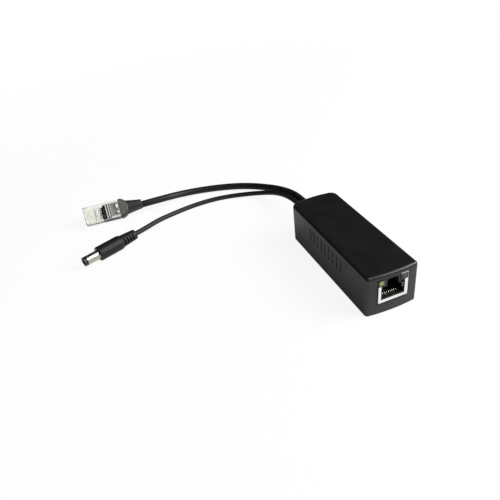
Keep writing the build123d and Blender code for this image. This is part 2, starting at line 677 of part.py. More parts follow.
with BuildPart() as bobbin:
    with BuildSketch(flange_plane):
        with Locations((0, core_z)):
            Rectangle(2 * flange_half, 2 * BOBBIN_HALF_HEIGHT)
    extrude(amount=-2 * bobbin_half_length)
    with BuildSketch(flange_plane.offset(-BOBBIN_WALL)):
        with Locations((0, core_z)):
            Rectangle(2 * CORE_WIDTH, 4 * BOBBIN_HALF_HEIGHT)
            Rectangle(
                2 * (spool_half + BOBBIN_WALL),
                2 * (spool_half_height + BOBBIN_WALL),
                mode=Mode.SUBTRACT,
            )
    extrude(amount=-2 * (bobbin_half_length - BOBBIN_WALL), mode=Mode.SUBTRACT)
    # Rails that carry the flanges over the board
    with BuildSketch(Plane.XY.offset(BOARD_TOP)):
        with Locations((0, CORE_Y - rail_reach), (0, CORE_Y + rail_reach)):
            Rectangle(2 * window_half, RAIL_LENGTH)
    extrude(amount=rail_top - BOARD_TOP)
    with BuildSketch(flange_plane):
        with Locations((0, core_z)):
            Rectangle(2 * spool_half, 2 * spool_half_height)
    extrude(amount=-2 * bobbin_half_length, mode=Mode.SUBTRACT)
save(bobbin, "transformer_bobbin")

with BuildPart() as winding:
    with BuildSketch(flange_plane.offset(-(BOBBIN_WALL + BOBBIN_GAP))):
        with Locations((0, core_z)):
            RectangleRounded(
                2 * (spool_half + BOBBIN_WALL + WINDING_BUILD),
                2 * (spool_half_height + BOBBIN_WALL + WINDING_BUILD),
                0.9 * WINDING_BUILD,
            )
            Rectangle(
                2 * (spool_half + BOBBIN_WALL + BOBBIN_GAP / 2),
                2 * (spool_half_height + BOBBIN_WALL + BOBBIN_GAP / 2),
                mode=Mode.SUBTRACT,
            )
    extrude(amount=-2 * (bobbin_half_length - BOBBIN_WALL - BOBBIN_GAP))
save(winding, "transformer_winding")

# Standing capacitors: a rolled can with a bead near its foot
for capacitor_name, capacitor_x in (("input_capacitor", -CAPACITOR_X), ("output_capacitor", CAPACITOR_X)):
    can_plane = Plane(origin=(capacitor_x, CAPACITOR_Y, BOARD_TOP), x_dir=(1, 0, 0), z_dir=(0, -1, 0))
    with BuildPart() as capacitor:
        with BuildSketch(can_plane):
            with BuildLine():
                Polyline(
                    (0, CAPACITOR_HEIGHT),
                    (0, 0),
                    (CAPACITOR_R, 0),
                    (CAPACITOR_R, BEAD_HEIGHT),
                    (CAPACITOR_R - BEAD_DEPTH, BEAD_HEIGHT + BEAD_DEPTH),
                    (CAPACITOR_R, BEAD_HEIGHT + 2 * BEAD_DEPTH),
                    (CAPACITOR_R, CAPACITOR_HEIGHT - BEAD_DEPTH),
                    (CAPACITOR_R - BEAD_DEPTH, CAPACITOR_HEIGHT),
                    close=True,
                )
            make_face()
        revolve(axis=Axis((capacitor_x, CAPACITOR_Y, 0), (0, 0, 1)))
    save(capacitor, capacitor_name)

# Output inductor: a drum core on the board, between the capacitors
with BuildPart() as output_inductor:
    with BuildSketch(Plane(origin=(0, CAPACITOR_Y, BOARD_TOP), x_dir=(1, 0, 0), z_dir=(0, -1, 0))):
        with BuildLine():
            Polyline(
                (0, INDUCTOR_HEIGHT),
                (0, 0),
                (INDUCTOR_R, 0),
                (INDUCTOR_R, INDUCTOR_FLANGE),
                (INDUCTOR_WAIST_R, INDUCTOR_FLANGE),
                (INDUCTOR_WAIST_R, INDUCTOR_HEIGHT - INDUCTOR_FLANGE),
                (INDUCTOR_R, INDUCTOR_HEIGHT - INDUCTOR_FLANGE),
                (INDUCTOR_R, INDUCTOR_HEIGHT),
                close=True,
            )
        make_face()
    revolve(axis=Axis((0, CAPACITOR_Y, 0), (0, 0, 1)))
save(output_inductor, "output_inductor")

# Chip parts: a row beside the isolation transformer, and two pairs by the controller
with BuildPart() as chip_capacitors:
    with BuildSketch(Plane.XY.offset(BOARD_TOP)):
        with Locations((CHIP_FROM_EDGE - BOARD_HALF, ISOLATION_Y)):
            with GridLocations(1, CHIP_PITCH, 1, 4):
                Rectangle(CHIP_WIDTH, CHIP_LENGTH)
    extrude(amount=CHIP_HEIGHT)
save(chip_capacitors, "chip_capacitors")

with BuildPart() as chip_resistors:
    with BuildSketch(Plane.XY.offset(BOARD_TOP)):
        with Locations((0, BRIDGE_Y)):
            with GridLocations(2 * RESISTOR_X, CHIP_PITCH, 2, 2):
                Rectangle(CHIP_WIDTH, CHIP_LENGTH)
    extrude(amount=CHIP_HEIGHT / 2)
save(chip_resistors, "chip_resistors")

# Strain relief: one soft moulding round both leads, keyed into the rear wall
relief_half_clear = relief_half - RELIEF_GAP
relief_top_clear = RELIEF_TOP - RELIEF_GAP
relief_arc_centre = RELIEF_TOP - relief_half
inner_flange_front = CASE_LENGTH / 2 - WALL - FLANGE_THICK - RELIEF_SEAT


def arched(plane, half, foot, arc_centre):
    """Arched tongue: upright sides from a foot, closed by a half circle."""
    with BuildSketch(plane) as tongue:
        with BuildLine():
            Line((-half, foot), (half, foot))
            Line((half, foot), (half, arc_centre))
            ThreePointArc((half, arc_centre), (0, arc_centre + half), (-half, arc_centre))
            Line((-half, arc_centre), (-half, foot))
        make_face()
    return tongue.sketch


with BuildPart() as strain_relief:
    flange_half_width = relief_half + FLANGE_REACH
    extrude(
        arched(Plane.XZ.offset(-NOZZLE_START), flange_half_width, COVER_TOP + RELIEF_SEAT, relief_arc_centre),
        amount=2 * WALL + FLANGE_THICK,
    )
    extrude(case_outline(-RELIEF_SEAT, 0), amount=CASE_HEIGHT, mode=Mode.SUBTRACT)
    extrude(
        arched(Plane.XZ.offset(-CASE_LENGTH / 2 - RELIEF_SEAT), relief_half_clear, COVER_TOP + RELIEF_SEAT,
               relief_arc_centre),
        amount=CASE_LENGTH / 2 - inner_flange_front,
    )
    inner_flange_rear = CASE_LENGTH / 2 - WALL - REAR_BOW * (flange_half_width / (CASE_WIDTH / 2)) ** 2
    extrude(
        arched(Plane.XZ.offset(-(inner_flange_rear - RELIEF_SEAT)), flange_half_width, COVER_TOP + RELIEF_SEAT,
               relief_arc_centre),
        amount=FLANGE_THICK,
    )
    with BuildSketch(Plane.XZ.offset(-NOZZLE_START)):
        with Locations((0, EXIT_HEIGHT)):
            SlotOverall(NOZZLE_ROOT_WIDTH, NOZZLE_ROOT_HEIGHT)
    with BuildSketch(Plane.XZ.offset(-EXIT_Y)):
        with Locations((0, EXIT_HEIGHT)):
            SlotOverall(NOZZLE_END_WIDTH, NOZZLE_END_HEIGHT)
    loft()
save(strain_relief, "strain_relief")

# Cores inside the case, from the strain relief to their pads on the board
relief_inner_face = min(inner_flange_rear - RELIEF_SEAT - FLANGE_THICK, inner_flange_front)

def core_path(x, z, drop_y):
    """Path of a core: level from the relief, then a turn down to the board."""
    with BuildLine(Plane(origin=(x, 0, 0), x_dir=(0, 1, 0), z_dir=(1, 0, 0))) as path:
        Polyline(
            (relief_inner_face, z),
            (drop_y + CORE_BEND, z),
            (drop_y, z - CORE_BEND),
            (drop_y, BOARD_TOP),
        )
    return path.line


with BuildPart() as data_cores:
    for row_rise, row_drop in zip((CORE_ROW_RISE, -CORE_ROW_RISE), DATA_DROPS):
        for index in range(4):
            core_x = DATA_EXIT_X + (index - 1.5) * CORE_PITCH
            core_line = core_path(core_x, EXIT_HEIGHT + row_rise, BOARD_REAR - row_drop)
            with BuildSketch(Plane(origin=core_line @ 0, z_dir=core_line % 0)):
                Circle(DATA_CORE_D / 2)
            sweep(path=core_line, transition=Transition.RIGHT)
save(data_cores, "data_cores")

with BuildPart() as power_cores:
    for side in (-1, 1):
        core_x = POWER_EXIT_X + side * POWER_CORE_D * 0.6 - POWER_CORE_D * 0.5
        core_line = core_path(core_x, EXIT_HEIGHT, BOARD_REAR - POWER_DROP)
        with BuildSketch(Plane(origin=core_line @ 0, z_dir=core_line % 0)):
            Circle(POWER_CORE_D / 2)
        sweep(path=core_line, transition=Transition.RIGHT)
save(power_cores, "power_cores")

# Data plug frame: the plug rests on one long edge and on the end of its latch,
# so its roll follows from how far the latch stands off
plug_half = PLUG_WIDTH / 2
plug_roll = atan(LATCH_DROP / (plug_half - LATCH_TIP_WIDTH / 2))
plug_ahead = Vector(cos(radians(DATA_PLUG_HEADING)), sin(radians(DATA_PLUG_HEADING)), 0)
plug_rearward = plug_ahead * -1
plug_level = Vector(-plug_ahead.Y, plug_ahead.X, 0)
plug_normal = plug_level * sin(plug_roll) + Vector(0, 0, 1) * cos(plug_roll)
plug_across = plug_rearward.cross(plug_normal)
plug_axis_height = plug_half * sin(plug_roll) + PLUG_HEIGHT / 2 * cos(plug_roll)
boot_end = Vector(*DATA_PLUG_REAR, plug_axis_height)
plug_nose = boot_end + plug_ahead * (PLUG_LENGTH + BOOT_LENGTH) - plug_normal * (PLUG_HEIGHT / 2)
plug_plan = Plane(origin=plug_nose, x_dir=plug_across, z_dir=plug_normal)
plug_side = Plane(origin=plug_nose, x_dir=plug_rearward, z_dir=plug_across)


def plug_section(distance):
    """Plane across the data plug at a distance behind its nose, on its axis."""
    centre = plug_nose + plug_rearward * distance + plug_normal * (PLUG_HEIGHT / 2)
    return Plane(origin=centre, x_dir=plug_across * -1, z_dir=plug_rearward)


blade_bottom = PLUG_HEIGHT - BLADE_SLOT_DEPTH
channel_width = (CONTACT_COUNT - 1) * CONTACT_PITCH + WIRE_D + JACKET_GAP
channel_centre = blade_bottom - WIRE_CHANNEL_HEIGHT / 2
cavity_width = JACKET_WIDTH + 2 * JACKET_GAP
cavity_height = JACKET_HEIGHT + 2 * JACKET_GAP
latch_end_bottom = -LATCH_DROP
latch_end_top = latch_end_bottom + LATCH_THICK
bar_points = [(0, BAR_FRONT + index * BAR_SPACING + BAR_LENGTH / 2) for index in range(2)]

with BuildPart() as plug_body:
    with BuildSketch(plug_plan):
        with Locations((0, PLUG_LENGTH / 2)):
            Rectangle(PLUG_WIDTH, PLUG_LENGTH)
    extrude(amount=PLUG_HEIGHT)
    chamfer(plug_body.edges(), PLUG_EDGE_R)
    # Slots for the contact blades
    with BuildSketch(plug_plan.offset(PLUG_HEIGHT)):
        with Locations(*[(x, BLADE_SLOT_LENGTH / 2) for x in contact_xs]):
            Rectangle(BLADE_SLOT_WIDTH, BLADE_SLOT_LENGTH)
    extrude(amount=-BLADE_SLOT_DEPTH, mode=Mode.SUBTRACT)
    # Flat channel for the eight wires, and the wider cavity for the jacket
    with BuildSketch(plug_plan.offset(channel_centre - WIRE_CHANNEL_HEIGHT / 2)):
        with Locations((0, (WIRE_CHANNEL_FRONT + JACKET_FRONT) / 2)):
            Rectangle(channel_width, JACKET_FRONT - WIRE_CHANNEL_FRONT)
    extrude(amount=WIRE_CHANNEL_HEIGHT, mode=Mode.SUBTRACT)
    with BuildSketch(plug_section(JACKET_FRONT)):
        Rectangle(cavity_width, cavity_height)
    extrude(amount=PLUG_LENGTH - JACKET_FRONT, mode=Mode.SUBTRACT)
    # Two crimped bars and the sunken strain block on the contact side
    with BuildSketch(plug_plan.offset(PLUG_HEIGHT)):
        with Locations(*bar_points):
            Rectangle(cavity_width, BAR_LENGTH)
    extrude(amount=-BAR_DEPTH, mode=Mode.SUBTRACT)
    with BuildSketch(plug_plan.offset(PLUG_HEIGHT)):
        with Locations((0, RECESS_FRONT + RECESS_LENGTH / 2)):
            Rectangle(RECESS_WIDTH, RECESS_LENGTH)
    extrude(amount=-RECESS_DEPTH, mode=Mode.SUBTRACT)
    # Latch on its living hinge: wide shoulders, then a narrow thumb lever
    for latch_width, latch_stop in ((LATCH_TIP_WIDTH, LATCH_LENGTH), (LATCH_WIDTH, LATCH_SHOULDER)):
        latch_share = (latch_stop - LATCH_ROOT) / (LATCH_LENGTH - LATCH_ROOT)
        with BuildSketch(plug_side):
            with BuildLine():
                Polyline(
                    (LATCH_ROOT, PLUG_EDGE_R),
                    (LATCH_ROOT + 2 * LATCH_THICK, PLUG_EDGE_R),
                    (LATCH_ROOT + 2 * LATCH_THICK, 0),
                    (latch_stop, latch_share * latch_end_top),
                    (latch_stop, latch_share * latch_end_bottom),
                    (LATCH_ROOT, 0),
                    close=True,
                )
            make_face()
        extrude(amount=latch_width / 2, both=True)
save(plug_body, "data_plug_body")

with BuildPart() as plug_blades:
    with BuildSketch(plug_plan.offset(blade_bottom)):
        with Locations(*[(x, BLADE_FRONT + BLADE_LENGTH / 2) for x in contact_xs]):
            Rectangle(BLADE_WIDTH, BLADE_LENGTH)
    extrude(amount=BLADE_HEIGHT)
save(plug_blades, "data_plug_contacts")

with BuildPart() as plug_wires:
    with BuildSketch(
        Plane(
            origin=plug_nose + plug_rearward * (WIRE_CHANNEL_FRONT + JACKET_GAP) + plug_normal * channel_centre,
            x_dir=plug_across * -1,
            z_dir=plug_rearward,
        )
    ):
        with Locations(*[(x, 0) for x in contact_xs]):
            Circle(WIRE_D / 2)
    extrude(amount=JACKET_FRONT - WIRE_CHANNEL_FRONT - JACKET_GAP)
save(plug_wires, "data_plug_wires")

# Flattened end of the cable's jacket, seen through the clear body
with BuildPart() as plug_jacket:
    with BuildSketch(plug_section(JACKET_FRONT)):
        RectangleRounded(JACKET_WIDTH, JACKET_HEIGHT, 0.6)
    extrude(amount=PLUG_LENGTH - JACKET_FRONT)
    jacket_half = JACKET_WIDTH / 2
    with BuildSketch(plug_plan):
        with BuildLine():
            Polyline(
                (-jacket_half, JACKET_FRONT + JACKET_CORNER),
                (JACKET_CORNER - jacket_half, JACKET_FRONT),
                (jacket_half, JACKET_FRONT),
                (jacket_half, PLUG_LENGTH),
                (-jacket_half, PLUG_LENGTH),
                close=True,
            )
        make_face()
    extrude(amount=PLUG_HEIGHT, mode=Mode.INTERSECT)
save(plug_jacket, "data_cable_jacket_end")

# Boot: a rounded head that narrows into a round neck with a rim
with BuildPart() as plug_boot:
    with BuildSketch(plug_plan.offset((PLUG_HEIGHT - BOOT_HEIGHT) / 2)):
        with BuildLine():
            boot_half = BOOT_WIDTH / 2
            Line((-boot_half, PLUG_LENGTH), (boot_half, PLUG_LENGTH))
            Line((boot_half, PLUG_LENGTH), (boot_half, PLUG_LENGTH + 0.6))
            ThreePointArc(
                (boot_half, PLUG_LENGTH + 0.6),
                (0, PLUG_LENGTH + BOOT_HEAD),
                (-boot_half, PLUG_LENGTH + 0.6),
            )
            Line((-boot_half, PLUG_LENGTH + 0.6), (-boot_half, PLUG_LENGTH))
        make_face()
    extrude(amount=BOOT_HEIGHT)
    with BuildSketch(plug_section(PLUG_LENGTH)):
        RectangleRounded(BOOT_WIDTH, BOOT_HEIGHT, BOOT_CORNER_R)
    extrude(amount=BOOT_HEAD, mode=Mode.INTERSECT)
    with BuildSketch(plug_section(PLUG_LENGTH + NECK_START)):
        Ellipse(NECK_FRONT_WIDTH / 2, NECK_FRONT_HEIGHT / 2)
    with BuildSketch(plug_section(PLUG_LENGTH + BOOT_LENGTH - NECK_RIM_LENGTH)):
        Circle(NECK_END_D / 2)
    loft()
    with BuildSketch(plug_section(PLUG_LENGTH + BOOT_LENGTH - NECK_RIM_LENGTH)):
        Circle(NECK_RIM_D / 2)
    extrude(amount=NECK_RIM_LENGTH)
save(plug_boot, "data_plug_boot")

# Power plug, turned about its own axis, lying on the widest part of its grip
ribs_length = RIB_COUNT * RIB_LENGTH + RIB_COUNT * RIB_SPACE
power_ahead = Vector(cos(radians(POWER_PLUG_HEADING)), sin(radians(POWER_PLUG_HEADING)), 0)
power_rearward = power_ahead * -1
power_end = Vector(*POWER_PLUG_REAR, GRIP_D / 2)
power_tip = power_end + power_ahead * (BARREL_LENGTH + GRIP_LENGTH + ribs_length)
power_side = Plane(origin=power_tip, x_dir=power_rearward, z_dir=power_rearward.cross(Vector(0, 0, 1)))
power_axis = Axis(power_tip, power_rearward)

grip_start = BARREL_LENGTH
grip_end = grip_start + GRIP_LENGTH
rib_points = []
for index in range(RIB_COUNT):
    rib_start = grip_end + index * (RIB_LENGTH + RIB_SPACE)
    rib_r = (RIB_FRONT_D + (RIB_REAR_D - RIB_FRONT_D) * index / (RIB_COUNT - 1)) / 2
    rib_points += [
        (rib_start, RIB_CORE_D / 2),
        (rib_start + RIB_SPACE, RIB_CORE_D / 2),
        (rib_start + RIB_SPACE, rib_r),
        (rib_start + RIB_SPACE + RIB_LENGTH, rib_r),
    ]

with BuildPart() as power_grip:
    with BuildSketch(power_side):
        with BuildLine():
            Polyline(
                (grip_start, 0),
                (grip_start, GRIP_D / 2 - GRIP_CHAMFER),
                (grip_start + GRIP_CHAMFER, GRIP_D / 2),
                (grip_end - GRIP_SHOULDER, GRIP_D / 2),
                (grip_end, RIB_FRONT_D / 2 + 0.1),
                *rib_points,
                (rib_points[-1][0], 0),
                close=True,
            )
        make_face()
    revolve(axis=power_axis)
    with BuildSketch(power_side):
        with Locations((grip_start + BARREL_ROOT_LENGTH / 2, BARREL_ROOT_D / 4)):
            Rectangle(BARREL_ROOT_LENGTH, BARREL_ROOT_D / 2)
    revolve(axis=power_axis, mode=Mode.SUBTRACT)
save(power_grip, "power_plug_grip")


def power_ring(start, stop, inner_d, outer_d):
    """Half section of a ring about the power plug's axis."""
    with BuildSketch(power_side) as ring:
        with Locations(((start + stop) / 2, (inner_d + outer_d) / 4)):
            Rectangle(stop - start, (outer_d - inner_d) / 2)
    return ring.sketch


barrel_inner_d = BARREL_D - 2 * BARREL_WALL
insulator_outer_d = barrel_inner_d - 2 * FIT_GAP
insulator_inner_d = insulator_outer_d - 2 * INSULATOR_WALL
centre_outer_d = insulator_inner_d - 2 * FIT_GAP
barrel_stop = BARREL_LENGTH + BARREL_ROOT_LENGTH
centre_floor = CENTRE_SETBACK + CENTRE_BORE_DEPTH

with BuildPart() as power_barrel:
    revolve(power_ring(TIP_LENGTH, BARREL_LENGTH, barrel_inner_d, BARREL_D), axis=power_axis)
    revolve(power_ring(BARREL_LENGTH, barrel_stop, barrel_inner_d, BARREL_ROOT_D), axis=power_axis)
save(power_barrel, "power_plug_barrel")

with BuildPart() as power_insulator:
    revolve(power_ring(0, TIP_LENGTH, insulator_inner_d, BARREL_D), axis=power_axis)
    revolve(power_ring(TIP_LENGTH, barrel_stop, insulator_inner_d, insulator_outer_d), axis=power_axis)
save(power_insulator, "power_plug_insulator")

with BuildPart() as power_centre:
    revolve(power_ring(CENTRE_SETBACK, centre_floor, CENTRE_BORE_D, centre_outer_d), axis=power_axis)
    revolve(power_ring(centre_floor, barrel_stop, 0, centre_outer_d), axis=power_axis)
save(power_centre, "power_plug_centre_contact")

# Leads. The middle points are chosen by hand. The first two leave the nozzle
# straight, and the last two arrive straight at the plug.
data_route = [
    (DATA_EXIT_X, EXIT_Y, EXIT_HEIGHT),
    (DATA_EXIT_X, EXIT_Y + 11.5, EXIT_HEIGHT),
    (0.7, 69.0, 10.4),
    (-2.3, 81.5, 8.2),
    (-6.7, 94.0, 5.1),
    (-13.0, 104.6, 3.0),
    (-22.4, 112.0, 2.35),
    (-34.0, 117.0, 2.3),
    (-46.5, 120.5, 2.4),
    (-59.5, 120.6, 3.6),
    tuple(boot_end + plug_rearward * 12.9),
    tuple(boot_end),
]
power_route = [
    (POWER_EXIT_X, EXIT_Y, EXIT_HEIGHT),
    (POWER_EXIT_X, EXIT_Y + 11.0, EXIT_HEIGHT),
    (-3.3, 67.5, 10.3),
    (-5.8, 78.5, 8.0),
    (-10.2, 88.0, 4.9),
    (-17.0, 95.6, 2.6),
    (-26.5, 101.0, 1.65),
    (-38.0, 103.8, 1.6),
    (-50.0, 104.3, 1.6),
    (-61.0, 102.8, 1.7),
    (-72.0, 99.3, 2.4),
    (-81.8, 94.5, 3.7),
    tuple(power_end + power_rearward * 7.0),
    tuple(power_end),
]


def arc_radii(route):
    """Radius of the arc at each inner point: 0.45 of the shorter run, over the tangent of half the turn."""
    points = [Vector(*point) for point in route]
    radii = []
    for before, at, after in zip(points, points[1:], points[2:]):
        arriving = at - before
        leaving = after - at
        half_turn = radians(arriving.get_angle(leaving)) / 2
        radii.append(0.45 * min(arriving.length, leaving.length) / tan(half_turn))
    return radii


for cable_name, cable_route, cable_d in (
    ("data_cable", data_route, DATA_CABLE_D),
    ("power_cable", power_route, POWER_CABLE_D),
):
    cable_radii = arc_radii(cable_route)
    with BuildPart() as cable:
        with BuildLine():
            cable_line = FilletPolyline(*cable_route, radius=cable_radii)
        with BuildSketch(Plane(origin=cable_line @ 0, z_dir=cable_line % 0)):
            Circle(cable_d / 2)
        sweep(path=cable_line)
    save(cable, cable_name)
    expected = pi * cable_d ** 2 / 4 * cable_line.length
    print(cable_name, "arc radii", [round(radius, 1) for radius in cable_radii])
    print(
        cable_name, "length", round(cable_line.length, 1),
        "volume over section times length", round(cable.part.volume / expected, 4),
    )
print("plug roll", round(degrees(plug_roll), 2), "axis height", round(plug_axis_height, 3))
print("data route", [tuple(round(value, 2) for value in point) for point in data_route])
print("power route", [tuple(round(value, 2) for value in point) for point in power_route])
print("data plug nose", tuple(round(value, 2) for value in plug_nose))
print("power plug tip", tuple(round(value, 2) for value in power_tip))
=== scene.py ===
import logging
from dataclasses import dataclass
from enum import Enum
from math import cos, pi, radians, sin
from typing import Any, Sequence

import bmesh
import bpy
import numpy as np
from bpy.types import Material, Node, NodeSocket, NodeTree, Object
from mathutils import Matrix, Vector


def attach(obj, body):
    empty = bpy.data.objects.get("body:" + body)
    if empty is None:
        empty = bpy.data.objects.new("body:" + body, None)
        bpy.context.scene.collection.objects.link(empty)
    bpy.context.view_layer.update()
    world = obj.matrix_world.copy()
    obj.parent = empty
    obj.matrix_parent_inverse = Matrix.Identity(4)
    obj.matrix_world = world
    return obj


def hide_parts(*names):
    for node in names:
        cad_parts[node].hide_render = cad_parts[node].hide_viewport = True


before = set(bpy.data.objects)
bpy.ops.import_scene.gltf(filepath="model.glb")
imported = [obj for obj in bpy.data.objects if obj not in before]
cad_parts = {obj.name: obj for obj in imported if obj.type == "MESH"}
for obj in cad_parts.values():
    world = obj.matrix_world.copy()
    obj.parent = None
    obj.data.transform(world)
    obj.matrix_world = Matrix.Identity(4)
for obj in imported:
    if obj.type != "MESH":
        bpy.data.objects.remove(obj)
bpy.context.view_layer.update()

logging.basicConfig(level=logging.INFO, format="%(message)s")
log = logging.getLogger("splitter")

MM = 0.001
BODY = "root"
WHITE = (1.0, 1.0, 1.0)
SAME_PLACE = 1e-6
SEEING_RAYS = ("Is Camera Ray", "Is Transmission Ray", "Is Glossy Ray")
Colour = tuple[float, float, float]
Point = tuple[float, float, float]
Span = tuple[float, float]
Dressing = tuple[tuple[Any, ...], ...]


def add_object(name: str, data: Any) -> Object:
    """Makes an object of some data and links it to the scene."""
    made = bpy.data.objects.new(name, data)
    bpy.context.scene.collection.objects.link(made)
    return made


class Signal:
    """A shader number. Python operators on it add Math nodes."""

    def __init__(self, graph: "Graph", socket: NodeSocket) -> None:
        """Wraps the output socket of a node that is in a graph."""
        self.graph = graph
        self.socket = socket

    def _math(self, operation: str, *values: Any) -> "Signal":
        """Adds one Math node for an operation on numbers or signals, in their order."""
        inputs = dict(enumerate(values))
        return self.graph.value("ShaderNodeMath", {"operation": operation}, inputs)

    def __add__(self, other: Any) -> "Signal":
        """This plus the other."""
        return self._math("ADD", self, other)

    def __radd__(self, other: Any) -> "Signal":
        """The other plus this."""
        return self._math("ADD", other, self)

    def __sub__(self, other: Any) -> "Signal":
        """This less the other."""
        return self._math("SUBTRACT", self, other)

    def __rsub__(self, other: Any) -> "Signal":
        """The other less this."""
        return self._math("SUBTRACT", other, self)

    def __mul__(self, other: Any) -> "Signal":
        """This times the other."""
        return self._math("MULTIPLY", self, other)

    def __rmul__(self, other: Any) -> "Signal":
        """The other times this."""
        return self._math("MULTIPLY", other, self)

    def between(self, low: float, high: float) -> "Signal":
        """One where this lies between two levels, and nought elsewhere."""
        return self._math("GREATER_THAN", self, low) - self._math("GREATER_THAN", self, high)

    def size(self) -> "Signal":
        """This without its sign."""
        return self._math("ABSOLUTE", self)

    def past(self, level: float, soft: float) -> "Signal":
        """Rises from nought to one over a short way past a level."""
        return self.ramp(level, level + soft)

    def ramp(self, low: float, high: float) -> "Signal":
        """Rises smoothly from nought at low to one at high."""
        settings = {"interpolation_type": "SMOOTHSTEP"}
        inputs = {"Value": self, "From Min": low, "From Max": high}
        return self.graph.value("ShaderNodeMapRange", settings, inputs)


class Graph:
    """The nodes of one material or world."""

    def __init__(self, tree: NodeTree) -> None:
        """Starts with an empty tree."""
        self.tree = tree
        tree.nodes.clear()

    def node(self, kind: str, settings: dict, inputs: dict) -> Node:
        """Adds a node, its settings first and then its inputs.

        Args:
            kind: the node's type.
            settings: attributes of the node, with a ramp's stops under "stops".
            inputs: numbers, colours, signals or sockets by name or place.

        Returns:
            The new node.
        """
        made = self.tree.nodes.new(kind)
        for key, value in settings.items():
            if key == "stops":
                self._set_stops(made, value)
            else:
                setattr(made, key, value)
        for key, value in inputs.items():
            self.feed(made.inputs[key], value)
        return made

    @staticmethod
    def _set_stops(made: Node, stops: Sequence[tuple[float, Colour]]) -> None:
        """Gives a stepped colour ramp its stops, as (place, colour) pairs."""
        made.color_ramp.interpolation = "CONSTANT"
        elements = made.color_ramp.elements
        while len(elements) < len(stops):
            elements.new(1.0)
        for element, (place, colour) in zip(elements, stops):
            element.position = place
            element.color = (*colour, 1.0)

    def feed(self, socket: NodeSocket, value: Any) -> None:
        """Links a signal or socket to an input, or sets a plain value on it."""
        value = value.socket if isinstance(value, Signal) else value
        if isinstance(value, NodeSocket):
            self.tree.links.new(value, socket)
        elif isinstance(value, tuple) and len(value) == 3 and socket.type == "RGBA":
            socket.default_value = (*value, 1.0)
        else:
            socket.default_value = value

    def value(self, kind: str, settings: dict, inputs: dict, output: Any = 0) -> Signal:
        """Adds a node and gives one of its outputs as a signal."""
        return Signal(self, self.node(kind, settings, inputs).outputs[output])

    def place(self) -> NodeSocket:
        """Object coordinates, in metres."""
        return self.node("ShaderNodeTexCoord", {}, {}).outputs["Object"]

    def vector(self, operation: str, *values: Any) -> Any:
        """Adds a Vector Math node and gives its outputs, the vector and the number."""
        inputs = dict(enumerate(values))
        return self.node("ShaderNodeVectorMath", {"operation": operation}, inputs).outputs

    def distance(self, point: Point) -> Signal:
        """How far each place is from a point, in metres."""
        offset = self.vector("SUBTRACT", self.place(), point)[0]
        return Signal(self, self.vector("LENGTH", offset)[1])

    def split(self, vector: NodeSocket) -> tuple[Signal, ...]:
        """The three parts of a vector as signals."""
        parts = self.node("ShaderNodeSeparateXYZ", {}, {0: vector}).outputs
        return tuple(Signal(self, part) for part in parts)

    def noise(self, scale: float, detail: float = 3.0, vector: Any = None) -> Signal:
        """Smooth noise from nought to one, with this many waves in a metre."""
        vector = vector if vector is not None else self.place()
        inputs = {"Vector": vector, "Scale": scale, "Detail": detail}
        return self.value("ShaderNodeTexNoise", {}, inputs, "Fac")

    def blend(self, factor: Any, first: Any, second: Any) -> NodeSocket:
        """Mixes two colours by a factor."""
        inputs = {0: factor, 6: first, 7: second}
        return self.node("ShaderNodeMix", {"data_type": "RGBA"}, inputs).outputs[2]


class Shader(Graph):
    """One material with a Principled surface."""

    def __init__(self, name: str) -> None:
        """Starts a material that holds only the surface."""
        self.material = bpy.data.materials.new(name)
        self.material.use_nodes = True
        super().__init__(self.material.node_tree)
        self.surface = self.node("ShaderNodeBsdfPrincipled", {}, {})
        inputs = {"Surface": self.surface.outputs[0]}
        self.output = self.node("ShaderNodeOutputMaterial", {}, inputs)

    def bump(self, height: Signal, depth: float, strength: float = 1.0) -> None:
        """Makes a height of nought to one stand this many metres proud."""
        inputs = {"Height": height, "Distance": depth, "Strength": strength}
        made = self.node("ShaderNodeBump", {}, inputs)
        self.feed(self.surface.inputs["Normal"], made.outputs[0])

    def set(self, **inputs: Any) -> None:
        """Sets inputs of the surface by name, with spaces as underscores."""
        for key, value in inputs.items():
            self.feed(self.surface.inputs[key.replace("_", " ")], value)


@dataclass(frozen=True)
class Recipe:
    """What every finish has."""

    name: str
    colour: Colour

    def tint(self, shader: Shader, plain: Any) -> Any:
        """Keeps the colour. A finish with marked places changes it."""
        return plain


@dataclass(frozen=True)
class Moulding(Recipe):
    """Moulded plastic or rubber: spark-eroded grain, faint blotches and dust."""

    roughness: float = 0.45
    grain: float = 0.00002
    grain_scale: float = 2600.0
    blotch: float = 0.12
    specular: float = 0.5
    cloud_scale: float = 90.0
    cloud_polish: float = 0.12
    speck_polish: float = 0.10

    def build(self) -> Material:
        """Makes the material."""
        shader = Shader(self.name)
        cloud = shader.noise(self.cloud_scale, 4.0)
        speck = shader.noise(self.grain_scale, 2.0)
        darker = tuple(part * (1.0 - self.blotch) for part in self.colour)
        lighter = tuple(part * (1.0 + self.blotch) + 0.0006 for part in self.colour)
        polish = (cloud - 0.5) * self.cloud_polish + (speck - 0.5) * self.speck_polish
        shader.set(
            Base_Color=self.tint(shader, shader.blend(cloud.ramp(0.3, 0.7), darker, lighter)),
            Roughness=self.roughness + polish,
            IOR=1.5,
            Specular_IOR_Level=self.specular,
        )
        shader.bump(speck, self.grain)
        return shader.material


@dataclass(frozen=True)
class GroovedMoulding(Moulding):
    """Moulded plastic with the walls of its side grooves painted pale: painted light against the
    grooves' own shade.
    """

    depths: Span = (0.01331, 0.01372)
    along: Span = (-0.0185, 0.0180)
    upright: Span = (0.0110, 0.0197)
    painted_groove_light: Colour = (0.170, 0.176, 0.180)

    def tint(self, shader: Shader, plain: NodeSocket) -> NodeSocket:
        """Paints the walls of the grooves lighter, as painted light."""
        x, y, z = shader.split(shader.place())
        held = x.size().between(*self.depths) * y.between(*self.along)
        # painted light: pale groove walls that make up for the reflection lost inside the
        # grooves
        return shader.blend(held * z.between(*self.upright), plain, self.painted_groove_light)


